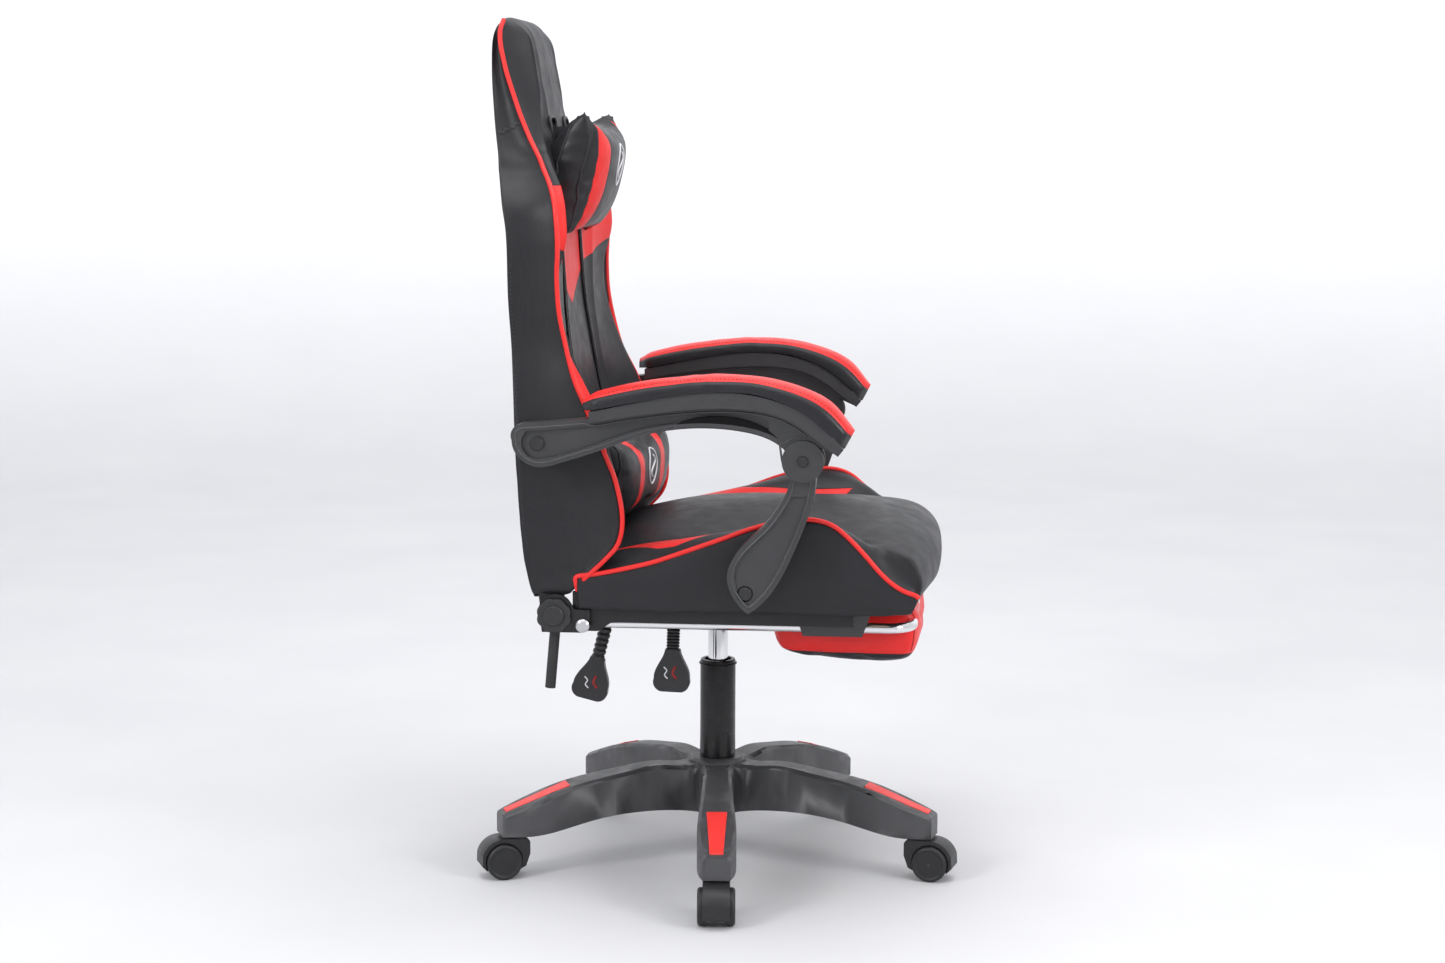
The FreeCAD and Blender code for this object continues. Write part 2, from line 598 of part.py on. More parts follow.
def trim_to_back_outline(piece):
    """Cut away everything outside the back's front view."""
    for sign in (1, -1):
        curve = [(sign * x, z) for x, z in BACK_HALF_OUTLINE]
        runs = [curve, [(0, 1180), (0, 1300)], [(0, 1300), (sign * 400, 1300)],
                [(sign * 400, 1300), (sign * 400, 425)], [(sign * 400, 425), (sign * 250, 425)]]
        piece.pocket(piece.outline("XZ_Plane", runs))


def behind_plane(low, high, offset):
    """Side view of the space behind the frame's plane, between two heights."""
    return [(tube_plane_y(low, offset), low), (tube_plane_y(high, offset), high), (330, high), (330, low)]


def cut_harness_holes(piece):
    for sign in (1, -1):
        piece.pocket(piece.polygon("XZ_Plane", [(sign * x, z) for x, z in HARNESS_HOLE]))


def make_back():
    """Front foam, tube frame and rear cover lie in layers; the side wings wrap all three."""
    front = -SIZES["back_tube_radius"] - 0.4
    rear = SIZES["back_tube_radius"] + 0.4

    cushion = Piece("back_cushion")
    side = [CENTRE_FRONT, [(273, 1179), (284, 1165), (292, 1140), (293, 1100), (290, 1040), (280, 962)],
            [(280, 962), (260, 950)], [(260, 950), (260, 440)], [(260, 440), (152, 440)]]
    cushion.pad(cushion.outline("YZ_Plane", side), "Dims.back_centre_width", midplane=True)
    cushion.pocket(cushion.polygon("YZ_Plane", behind_plane(400, HEAD_START, front)))
    cushion.pocket(cushion.polygon("YZ_Plane", behind_plane(HEAD_START - 5, CAP_HEIGHT, front)),
                   f"2 * {HEAD_CHANNEL}", both_ways=True)
    cut_harness_holes(cushion)
    trim_to_back_outline(cushion)

    cover = Piece("back_cover")
    low, high = 425, CAP_HEIGHT - 0.4
    rear_curve = [(224, low)] + [point for point in REAR_LINE if 441 <= point[1] <= 1140] + [(292, high)]
    inner_line = [(tube_plane_y(high, rear), high), (tube_plane_y(low, rear), low)]
    side = [inner_line, [inner_line[1], (224, low)], rear_curve, [(292, high), inner_line[0]]]
    cover.pad(cover.outline("YZ_Plane", side), "Dims.back_cover_width", midplane=True)
    for sign in (1, -1):
        waist = [(sign * (WAIST_CHANNEL - 0.6), WAIST_START - 2), (sign * (WAIST_CHANNEL - 0.6), 955),
                 (sign * (HEAD_CHANNEL - 0.6), HEAD_START - 2), (sign * (HEAD_CHANNEL - 0.6), 1200),
                 (sign * 300, 1200), (sign * 300, WAIST_START - 2)]
        cover.pocket(cover.polygon("XZ_Plane", waist))
    cut_harness_holes(cover)

    wing = Piece("back_wing", keep=False)
    side = [WING_FRONT, [(206, 985), (278, 985)], [(278, 985), (262, 930)],
            [(262, 930), (251, 880), (247, 745), (237, 574), (224, 430)], [(224, 430), (165, 452)]]
    wing.pad(wing.outline("YZ_Plane", side, "Dims.back_wing_inner_face"),
             "Dims.back_wing_outer_face - Dims.back_wing_inner_face")
    inner = SIZES["back_wing_inner_face"] - 1
    for low, high, reach in ((400, WAIST_START, LOWER_CHANNEL), (WAIST_START - 1, 1000, WAIST_CHANNEL)):
        wing.pocket(wing.polygon("YZ_Plane", behind_plane(low, high, front), str(inner)),
                    f"{reach} - {inner}", reverse=True)
    plate_middle = SIZES["back_bracket_inner_face"] + SIZES["bracket_thickness"] / 2
    slot = [(170, 400), (230, 400), (230, 490), (170, 490)]
    wing.pocket(wing.polygon("YZ_Plane", slot, str(plate_middle)), "6", both_ways=True)
    wing.pocket(wing.circles("YZ_Plane", BACK_BOLTS, "8", "240"), "12", both_ways=True)
    ear_slot = [(192, 604), (232, 604), (232, 656), (192, 656)]
    wing.pocket(wing.polygon("YZ_Plane", ear_slot, "225"), "33", both_ways=True)
    wing.pocket(wing.circles("YZ_Plane", [ARM_REAR], "9.5", "250"), "40", both_ways=True)
    trim_to_back_outline(wing)
    pair("back_wings", wing.body)

    make_back_frame()
    make_pillows()


def make_back_frame():
    """Bent tube hoop with two cross tubes and an ear for each arm, all in one inclined plane."""
    hoop_half = [(226, 430), (226, 560), (206, 640), (200, 860), (106, 985), (92, 1120)]
    route = [(-x, tube_plane_y(z), z) for x, z in hoop_half]
    route += [(-x, y, z) for x, y, z in route[::-1]]
    parts = [bent_rod("back_hoop", SIZES["back_tube_radius"], route, 24)]
    for index, (z, half) in enumerate([(520, 226), (850, 200)]):
        parts.append(rod(f"back_cross_tube_{index}", "Dims.back_tube_radius - 2", str(2 * half),
                         (-half, tube_plane_y(z), z), (1, 0, 0)))
    for side in (1, -1):
        ear = doc.addObject("Part::Box", f"arm_ear_{'left' if side > 0 else 'right'}")
        ear.Length, ear.Width, ear.Height = 30, 30, 44
        ear.Placement.Base = Vector(210 if side > 0 else -240, 196, 608)
        parts.append(ear)
    welded = fused("back_frame_welded", parts)
    drill = [rod(f"back_drill_{side}_{index}", "Dims.tray_bolt_radius", "40",
                 (side * 215, *spot), (side, 0, 0))
             for side in (1, -1) for index, spot in enumerate(BACK_BOLTS)]
    frame = cut("back_frame", welded, fused("back_drills", drill))
    frame.Label = "back_frame"
    nodes["back_frame"] = frame


def make_pillows():
    head = Piece("head_pillow")
    side = [[(206, 905), (206, 1040)], [(206, 1040), (190, 1052), (165, 1050)],
            [(165, 1050), (138, 990), (139, 955), (160, 905)], [(160, 905), (185, 890), (206, 905)]]
    head.pad(head.outline("YZ_Plane", side), "Dims.head_pillow_width", midplane=True)
    lumbar = Piece("lumbar_pillow")
    side = [[(86, 606), (77, 572), (90, 530), (110, 506)], [(110, 506), (128, 499), (146, 504)],
            [(146, 504), (157, 560), (167, 606)], [(167, 606), (126, 622), (86, 606)]]
    lumbar.pad(lumbar.outline("YZ_Plane", side), "Dims.lumbar_pillow_width", midplane=True)


# ---------------------------------------------------------------- straps
STRAP_X = 60
STRAP_REAR = 292.5
STRAP_THICKNESS = 2


def make_straps():
    """Elastic band of the head pillow: through both harness holes and across the rear."""
    inner = STRAP_X - STRAP_THICKNESS
    strap = Piece("pillow_straps")
    corners = [(-STRAP_X, 206.2), (-inner, 206.2), (-inner, STRAP_REAR - STRAP_THICKNESS),
               (inner, STRAP_REAR - STRAP_THICKNESS), (inner, 206.2), (STRAP_X, 206.2),
               (STRAP_X, STRAP_REAR), (-STRAP_X, STRAP_REAR)]
    strap.pad(strap.polygon("XY_Plane", corners, "1009"), "25")


# ---------------------------------------------------------------- recliner
SEAT_BRACKET = [[(212, 371), (160, 371)], [(160, 371), (151, 374.5), (148, 384)], [(148, 384), (148, 402)],
                [(148, 402), (168, 402)], [(168, 402), (176, 414)], [(176, 414), (197, 422), (216, 404)],
                [(216, 404), (212, 371)]]
BACK_BRACKET = [[(214, 394), (224, 486)], [(224, 486), (200, 486)], [(200, 486), (176, 394)],
                [(176, 394), (195, 375), (214, 394)]]
PIVOT_RADIUS = 6


def turned_along_x(name, profile, centre, keep=False):
    """Round piece on an axis along X; the profile is (x, radius), closed on the axis."""
    piece = Piece(name, keep=keep)
    piece.revolve(piece.polygon("XY_Plane", profile), "H_Axis")
    piece.body.Placement = Placement(Vector(0, *centre), Rotation())
    return piece.body


def make_recliner():
    seat_plate = Piece("recliner_seat_bracket", keep=False)
    seat_plate.pad(seat_plate.outline("YZ_Plane", SEAT_BRACKET, "Dims.seat_bracket_inner_face"),
                   "Dims.bracket_thickness")
    boss = seat_plate.circles("YZ_Plane", [FRAME_BOLT], "9", "236.2")
    seat_plate.pad(boss, "4")
    seat_plate.pocket(seat_plate.circles("YZ_Plane", [HINGE], str(PIVOT_RADIUS)))
    seat_plate.pocket(seat_plate.circles("YZ_Plane", [FRAME_BOLT], "Dims.arm_bolt_radius"))
    pair("recliner_seat_brackets", seat_plate.body)

    back_plate = Piece("recliner_back_bracket", keep=False)
    back_plate.pad(back_plate.outline("YZ_Plane", BACK_BRACKET, "Dims.back_bracket_inner_face"),
                   "Dims.bracket_thickness")
    back_plate.pocket(back_plate.circles("YZ_Plane", [HINGE], f"{PIVOT_RADIUS} + Dims.running_clearance"))
    back_plate.pocket(back_plate.circles("YZ_Plane", BACK_BOLTS, "Dims.tray_bolt_radius"))
    pair("recliner_back_brackets", back_plate.body)

    eye = turned_along_x("release_arm_eye", [(-231, PIVOT_RADIUS + 0.06), (-231, 12), (-220, 12),
                                             (-220, PIVOT_RADIUS + 0.06)], HINGE)
    lean = math.radians(5)
    start = (-225.5, HINGE[0] + 10 * math.sin(lean), HINGE[1] - 10 * math.cos(lean))
    bar = rod("release_arm_bar", "7", "92", start, (0, math.sin(lean), -math.cos(lean)))
    arm = fused("recliner_release_arm", [eye, bar])
    arm.Label = "recliner_release_arm"
    nodes["recliner_release_arm"] = arm


# ---------------------------------------------------------------- arms
ARM_BEAM = [[(-113, 626), (-106, 632), (-54, 650), (-3, 653), (74, 641), (126, 622), (178, 605),
             (207, 600), (230, 612), (239, 634)], [(239, 634), (238, 648), (228, 655)],
            [(228, 655), (178, 659), (126, 665), (74, 674), (-3, 683), (-54, 684), (-118, 670),
             (-157, 644), (-186, 626)], [(-186, 626), (-181, 620)], [(-181, 620), (-150, 634)],
            [(-150, 634), (-113, 626)]]
ARM_WEB = [[(-92, 646), (-54, 658), (-3, 661), (74, 650), (126, 632), (178, 615), (205, 610)],
           [(205, 610), (226, 625), (220, 646)],
           [(220, 646), (178, 650), (126, 656), (74, 665), (-3, 674), (-54, 674), (-92, 664)],
           [(-92, 664), (-92, 646)]]
ARM_FLANGE = [[(137, 673.6), (70, 687.6), (-6, 699.6), (-57, 699.6), (-133, 677.6), (-188, 629.6)],
              [(-188, 629.6), (-181, 621)], [(-181, 621), (-155, 641), (-118, 666), (-54, 680), (-3, 679),
                                             (74, 670), (137, 659)], [(137, 659), (137, 673.6)]]
ARM_PAD = [[(137, 674), (70, 688), (-6, 700), (-57, 700), (-133, 678), (-188, 630)],
           [(-188, 630), (-198, 641), (-200, 654)],
           [(-200, 654), (-171, 687), (-133, 706), (-82, 718), (-34, 721), (7, 719), (70, 711), (122, 700),
            (137, 692)], [(137, 692), (137, 674)]]
LINK = [[(-119, 597), (-117, 578), (-108, 558), (-87, 528), (-49, 488), (-39, 462), (-49, 430), (-66, 412)],
        [(-66, 412), (-88, 430), (-120, 483), (-139, 529), (-149, 562), (-152, 597)],
        [(-152, 597), (-119, 597)]]
LINK_WEB = [[(-120, 566), (-97, 530), (-59, 488), (-49, 462), (-56, 434), (-66, 422)],
            [(-66, 422), (-82, 436), (-112, 486), (-131, 530), (-141, 566)], [(-141, 566), (-120, 566)]]
FACE_GAP = 0.5


def make_arms():
    upper = Piece("arm_upper_left")
    upper.pad(upper.outline("YZ_Plane", ARM_BEAM, "Dims.arm_inner_face"),
              "Dims.arm_outer_face - Dims.arm_inner_face")
    upper.pad(upper.circles("YZ_Plane", [ARM_HUB], "Dims.hub_disc_radius", "Dims.arm_inner_face"),
              "Dims.arm_outer_face + 4 - Dims.arm_inner_face")
    upper.pad(upper.outline("YZ_Plane", ARM_FLANGE, "Dims.arm_flange_inner_face"), "Dims.arm_flange_width")
    upper.pocket(upper.outline("YZ_Plane", ARM_WEB, "Dims.arm_outer_face - 6"), "8", reverse=True)
    middle = (SIZES["tongue_inner_face"] + SIZES["tongue_outer_face"]) / 2
    slot = upper.circles("YZ_Plane", [ARM_HUB], "Dims.hub_disc_radius + 1", str(middle))
    upper.pocket(slot, f"Dims.tongue_outer_face - Dims.tongue_inner_face + 2 * {FACE_GAP}", both_ways=True)
    upper.pocket(upper.circles("YZ_Plane", [ARM_HUB, ARM_REAR], "Dims.arm_bolt_radius"))
    mirrored(upper.body, "arm_upper_right")

    pad = Piece("arm_pad_left")
    pad.pad(pad.outline("YZ_Plane", ARM_PAD, "Dims.arm_pad_inner_face"), "Dims.arm_pad_width")
    mirrored(pad.body, "arm_pad_right")

    link = Piece("arm_lower_left")
    link.pad(link.outline("YZ_Plane", LINK, "Dims.link_inner_face"),
             "Dims.tongue_outer_face - Dims.link_inner_face")
    link.pad(link.circles("YZ_Plane", [ARM_HUB], "Dims.hub_disc_radius - 3", "Dims.tongue_inner_face"),
             "Dims.tongue_outer_face - Dims.tongue_inner_face")
    step = link.circles("YZ_Plane", [ARM_HUB], "Dims.hub_disc_radius + 1.5", "Dims.tongue_inner_face - 20")
    link.pocket(step, "40", both_ways=True)
    link.pocket(link.outline("YZ_Plane", LINK_WEB, "Dims.tongue_outer_face - 3"), "6", reverse=True)
    sink = link.circles("YZ_Plane", [ARM_FOOT], "10.5", "Dims.tongue_outer_face - 8")
    link.pocket(sink, "10", reverse=True)
    bores = link.circles("YZ_Plane", [ARM_HUB, ARM_FOOT], "Dims.arm_bolt_radius + Dims.running_clearance")
    link.pocket(bores)
    mirrored(link.body, "arm_lower_right")

    radius = SIZES["arm_bolt_radius"]
    hub = turned_along_x("hub_bolt", [(281, 0), (281, radius), (316, radius), (316, 7.5), (319, 6.5),
                                      (319, 0)], ARM_HUB)
    rear = turned_along_x("rear_bolt", [(282, 0), (282, radius), (306, radius), (306, 9), (310, 9), (311, 8),
                                        (311, 0)], ARM_REAR)
    bolts = group("arm_bolts_left", [hub, rear])
    mirrored(bolts, "arm_bolts_right")


# ---------------------------------------------------------------- fasteners
FRAME_BOLT = (157, 381)                       # (y, z) of the bolt that holds each seat bracket


def make_fasteners():
    """Bolts of the seat body and of the back body, each group in one node."""
    radius = SIZES["arm_bolt_radius"]
    foot = turned_along_x("foot_bolt", [
        (231.8, 0), (231.8, radius), (236.2, radius), (236.2, 9), (265.6, 9), (265.6, radius),
        (297, radius), (297, 9), (302, 9), (303, 8), (303, 0)], ARM_FOOT)
    frame_bolt = turned_along_x("frame_bolt", [(230, 0), (230, radius), (244.8, radius), (244.8, 9),
                                               (249, 9), (251, 6), (251, 0)], FRAME_BOLT)
    pivot = turned_along_x("recliner_pivot", [(219, 0), (219, PIVOT_RADIUS), (244.8, PIVOT_RADIUS),
                                              (244.8, 14), (252, 14), (254, 12), (254, 0)], HINGE)
    members = []
    for body in (foot, frame_bolt, pivot):
        members += [body, mirrored(body)]
    for side in (1, -1):
        for index, (x, y) in enumerate(TRAY_BOLTS):
            place = (side * x, y, 388)
            shank = rod(f"tray_bolt_{side}_{index}", "Dims.tray_bolt_radius", "14", place, (0, 0, 1))
            head = rod(f"tray_bolt_head_{side}_{index}", "7", "5", place, (0, 0, 1))
            members.append(fused(f"tray_bolt_whole_{side}_{index}", [shank, head]))
        for index, (x, y) in enumerate(GUIDE_SCREWS):
            members.append(rod(f"guide_screw_{side}_{index}", "Dims.screw_radius", "15.8",
                               (side * x, y, 386.1), (0, 0, 1)))
    group("seat_bolts", members)

    members = []
    stud = turned_along_x("arm_stud", [(240, 0), (240, 8), (274.6, 8), (274.6, 0)], ARM_REAR)
    members += [stud, mirrored(stud)]
    for index, centre in enumerate(BACK_BOLTS):
        bolt = turned_along_x(f"back_bolt_{index}", [(222, 0), (222, 4), (239.6, 4), (239.6, 7), (243.6, 7),
                                                     (243.6, 0)], centre)
        members += [bolt, mirrored(bolt)]
    group("back_bolts", members)


def build():
    make_base()
    for index in range(1, SIZES["leg_count"] + 1):
        make_caster(index)
    make_gas_lift()
    make_mechanism()
    make_levers()
    make_seat()
    make_footrest()
    make_back()
    make_straps()
    make_recliner()
    make_arms()
    make_fasteners()


def check_and_write():
    doc.recompute()
    for item in doc.Objects:
        if "Invalid" in item.State or "Error" in item.State:
            raise RuntimeError(f"{item.Label}: {item.State}")
    os.makedirs("parts", exist_ok=True)
    for label, item in nodes.items():
        if item.Shape.isNull() or not item.Shape.isValid():
            raise RuntimeError(f"{label}: bad shape")
        item.Shape.exportStep(f"parts/{label}.step")


build()
check_and_write()
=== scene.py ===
"""The looks of the gaming chair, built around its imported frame.

Outlines are in millimetres in the row frame: +Z is up, the chair faces -Y, the sitter's right side is -X.
A two-tone cover carries an attribute "red": its distance in millimetres inside the red panels, negative
where the leather is black, so that one material draws every panel and the seam between the colours.
"""
import json
import math

import bmesh
import bpy
import numpy as np
from mathutils import Matrix, Vector, noise

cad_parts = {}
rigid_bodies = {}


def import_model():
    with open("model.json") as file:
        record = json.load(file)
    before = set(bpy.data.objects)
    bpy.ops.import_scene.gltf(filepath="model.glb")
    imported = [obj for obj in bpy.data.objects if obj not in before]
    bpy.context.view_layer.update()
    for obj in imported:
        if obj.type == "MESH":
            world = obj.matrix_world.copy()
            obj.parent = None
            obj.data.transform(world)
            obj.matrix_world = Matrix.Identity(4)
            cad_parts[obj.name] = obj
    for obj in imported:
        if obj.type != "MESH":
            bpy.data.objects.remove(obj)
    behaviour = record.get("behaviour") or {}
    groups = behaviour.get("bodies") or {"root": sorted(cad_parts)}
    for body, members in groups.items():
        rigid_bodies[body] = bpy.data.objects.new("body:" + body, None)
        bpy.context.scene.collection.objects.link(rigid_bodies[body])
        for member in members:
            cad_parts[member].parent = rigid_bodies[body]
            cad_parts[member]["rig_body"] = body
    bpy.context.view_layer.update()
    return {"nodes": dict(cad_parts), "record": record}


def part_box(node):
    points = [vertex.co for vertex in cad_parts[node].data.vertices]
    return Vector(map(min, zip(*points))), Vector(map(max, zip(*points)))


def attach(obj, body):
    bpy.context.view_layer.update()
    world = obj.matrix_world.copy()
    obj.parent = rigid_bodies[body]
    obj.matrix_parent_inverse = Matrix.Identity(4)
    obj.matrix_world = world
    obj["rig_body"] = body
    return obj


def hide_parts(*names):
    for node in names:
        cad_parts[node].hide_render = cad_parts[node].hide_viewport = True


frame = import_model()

MM = 0.001
scene = bpy.context.scene
scene.view_settings.view_transform = "Standard"


# ---------------------------------------------------------------- curves and grids
def curve_through(points, count=None):
    """Smooth curve through points; with a count, that many points evenly spaced along it."""
    points = np.array(points, float)
    padded = np.vstack([2 * points[0] - points[1], points, 2 * points[-1] - points[-2]])
    place = np.linspace(0, len(points) - 1, (len(points) - 1) * 16 + 1)
    index = np.minimum(place.astype(int), len(points) - 2)
    f = (place - index)[:, None]
    before, here, there, after = (padded[index + k] for k in range(4))
    fine = 0.5 * (2 * here + (there - before) * f + (2 * before - 5 * here + 4 * there - after) * f ** 2
                  + (3 * here - before - 3 * there + after) * f ** 3)
    return fine if count is None else evenly(fine, count)


def evenly(path, count):
    """The same path with evenly spaced points."""
    steps = np.linalg.norm(np.diff(path, axis=0), axis=1)
    run = np.concatenate([[0], np.cumsum(steps)])
    wanted = np.linspace(0, run[-1], count)
    return np.stack([np.interp(wanted, run, path[:, k]) for k in range(path.shape[1])], axis=1)


def against_height(points, heights):
    """First coordinate of a curve given as (value, height) points, at each height."""
    fine = curve_through(points)
    order = np.argsort(fine[:, 1], kind="stable")
    return np.interp(heights, fine[order, 1], fine[order, 0])


def smooth_step(low, high, value):
    t = np.clip((value - low) / (high - low), 0, 1)
    return t * t * (3 - 2 * t)


def span(start, end, count, closed=False):
    """Straight columns between two lines of points, without the last one unless closed."""
    t = np.linspace(0, 1, count + 1)[:count + 1 if closed else count]
    return start[:, None, :] * (1 - t)[None, :, None] + end[:, None, :] * t[None, :, None]


def puff(count, height, power=0.75, half=False, closed=False):
    """Bulge of a padded panel between its two seams, or from a seam to its middle when half is set."""
    t = np.linspace(0, 1, count + 1)[:count + 1 if closed else count]
    return height * np.sin(math.pi * t * (0.5 if half else 1)) ** power


def grid_normals(grid):
    """Unit normals of a grid of points, by central differences."""
    along = np.gradient(grid, axis=0)
    across = np.gradient(grid, axis=1)
    normals = np.cross(across, along)
    length = np.linalg.norm(normals, axis=2, keepdims=True)
    return normals / np.maximum(length, 1e-9)


def with_mirror(half, flip=1):
    """Closed ring of columns from a half section that starts and ends on the middle plane."""
    other = half[:, -2:0:-1].copy()
    if other.ndim == 3:
        other[..., 0] *= -1
    else:
        other *= flip
    return np.concatenate([half, other], axis=1)


# ---------------------------------------------------------------- meshes
def new_object(name, mesh, material):
    piece = bpy.data.objects.new(name, mesh)
    scene.collection.objects.link(piece)
    for one in material if isinstance(material, (list, tuple)) else [material]:
        mesh.materials.append(one)
    return piece


def set_smooth(mesh, smooth=True):
    mesh.polygons.foreach_set("use_smooth", np.full(len(mesh.polygons), smooth))
    mesh.update()


def tidy_mesh(mesh, merge=1e-5, fill=False):
    """Merge coinciding points, close open ends and turn all faces outwards."""
    work = bmesh.new()
    work.from_mesh(mesh)
    bmesh.ops.remove_doubles(work, verts=work.verts, dist=merge)
    if fill:
        filled = bmesh.ops.holes_fill(work, edges=[e for e in work.edges if e.is_boundary], sides=0)
        bmesh.ops.triangulate(work, faces=filled["faces"])
    bmesh.ops.recalc_face_normals(work, faces=work.faces)
    work.to_mesh(mesh)
    work.free()


def grid_piece(name, grid, material, wrap=True, fill=False, attributes=None):
    """Mesh object from a grid of points in millimetres; wrap joins the last column to the first."""
    rows, columns = grid.shape[:2]
    r, c = np.meshgrid(np.arange(rows - 1), np.arange(columns if wrap else columns - 1), indexing="ij")
    following = (c + 1) % columns
    faces = np.stack([r * columns + c, (r + 1) * columns + c,
                      (r + 1) * columns + following, r * columns + following], axis=-1)
    mesh = bpy.data.meshes.new(name)
    mesh.from_pydata((grid.reshape(-1, 3) * MM).tolist(), [], faces.reshape(-1, 4).tolist())
    for key, values in (attributes or {}).items():
        attribute = mesh.attributes.new(key, "FLOAT", "POINT")
        attribute.data.foreach_set("value", values.ravel().astype(np.float32))
    tidy_mesh(mesh, fill=fill)
    set_smooth(mesh)
    return new_object(name, mesh, material)


def tube(name, path, radius, material, sides=12, closed=False):
    """Round tube along a path of points in millimetres, with closed ends."""
    path = np.array(path, float)
    count = len(path)
    tangents = np.gradient(path, axis=0) if not closed else np.roll(path, -1, 0) - np.roll(path, 1, 0)
    tangents /= np.maximum(np.linalg.norm(tangents, axis=1, keepdims=True), 1e-9)
    side = np.cross(tangents[0], (0.3, 0.2, 1.0))
    rings = []
    radii = np.broadcast_to(radius, count)
    for k in range(count):
        side = side - tangents[k] * side.dot(tangents[k])
        side /= np.linalg.norm(side)
        up = np.cross(tangents[k], side)
        angles = np.linspace(0, 2 * math.pi, sides, endpoint=False)
        rings.append(path[k] + radii[k] * (np.cos(angles)[:, None] * side + np.sin(angles)[:, None] * up))
    if closed:
        rings.append(rings[0])
    return grid_piece(name, np.array(rings), material, fill=not closed)


def stitch_line(name, path, normals, material, pitch=5.5, length=3.6, radius=0.55, lift=0.25):
    """Row of short threads lying on a surface."""
    path = np.array(path, float)
    total = np.linalg.norm(np.diff(path, axis=0), axis=1).sum()
    count = max(2, int(total / pitch))
    centres = evenly(np.hstack([path, normals]), count)
    work = bmesh.new()
    for k in range(count - 1):
        place, up = centres[k, :3], centres[k, 3:]
        run = centres[k + 1, :3] - place
        run = run / max(np.linalg.norm(run), 1e-9)
        up = up - run * up.dot(run)
        up /= max(np.linalg.norm(up), 1e-9)
        turn = Matrix([run, np.cross(up, run), up]).transposed().to_4x4()
        size = Matrix.Diagonal((length / 2 * MM, radius * MM, radius * MM * 0.8, 1))
        middle = Matrix.Translation(Vector((place + up * lift) * MM))
        bmesh.ops.create_icosphere(work, subdivisions=1, radius=1, matrix=middle @ turn @ size)
    mesh = bpy.data.meshes.new(name)
    work.to_mesh(mesh)
    work.free()
    set_smooth(mesh)
    return new_object(name, mesh, material)


def slab(name, outline, low, high, material, axis=0, bevel=1.0):
    """Flat piece with a given outline, between two distances along an axis, with rounded edges."""
    work = bmesh.new()
    order = {0: lambda d, u, v: (d, u, v), 1: lambda d, u, v: (u, d, v), 2: lambda d, u, v: (u, v, d)}[axis]
    rings = [[work.verts.new(Vector(order(d, u, v)) * MM) for u, v in outline] for d in (low, high)]
    count = len(outline)
    for k in range(count):
        work.faces.new((rings[0][k], rings[0][(k + 1) % count], rings[1][(k + 1) % count], rings[1][k]))
    work.faces.new(rings[0])
    work.faces.new(rings[1])
    bmesh.ops.recalc_face_normals(work, faces=work.faces)
    mesh = bpy.data.meshes.new(name)
    work.to_mesh(mesh)
    work.free()
    piece = new_object(name, mesh, material)
    if bevel:
        round_edges(piece, bevel)
    set_smooth(mesh)
    return piece


def round_edges(piece, width, segments=3, angle=32):
    """Rounded edges as modifiers: they weld the split points of a CAD mesh and leave its data alone."""
    weld = piece.modifiers.new("weld", "WELD")
    weld.merge_threshold = 1e-5
    bevel = piece.modifiers.new("bevel", "BEVEL")
    bevel.width = width * MM
    bevel.segments = segments
    bevel.limit_method = "ANGLE"
    bevel.angle_limit = math.radians(angle)
    bevel.harden_normals = True
    bevel.use_clamp_overlap = True


def apply_modifiers(piece):
    """Replace a piece's mesh with the one its modifiers make."""
    shaped = piece.evaluated_get(bpy.context.evaluated_depsgraph_get())
    mesh = bpy.data.meshes.new_from_object(shaped)
    piece.modifiers.clear()
    old = piece.data
    piece.data = mesh
    bpy.data.meshes.remove(old)
    return piece


def coordinates(mesh):
    values = np.zeros(len(mesh.vertices) * 3, np.float32)
    mesh.vertices.foreach_get("co", values)
    return values.reshape(-1, 3).astype(float)


def vertex_normals(mesh):
    values = np.zeros(len(mesh.vertices) * 3, np.float32)
    mesh.vertices.foreach_get("normal", values)
    return values.reshape(-1, 3).astype(float)


def wrinkle(piece, height, size, seed, stretch=(1, 1, 1), weight=None):
    """Move points along their normals by smooth noise: height in millimetres, size of a fold too."""
    mesh = piece.data
    points = coordinates(mesh)
    offset = Vector((seed * 1.37, seed * 2.11, seed * 0.73))
    scale = Vector([1 / (size * MM * s) for s in stretch])
    wave = np.array([noise.noise(Vector((p[0] * scale[0], p[1] * scale[1], p[2] * scale[2])) + offset)
                     for p in points])
    strength = height * MM if weight is None else height * MM * weight(points / MM)
    moved = points + vertex_normals(mesh) * (wave * strength)[:, None]
    mesh.vertices.foreach_set("co", moved.ravel())
    mesh.update()


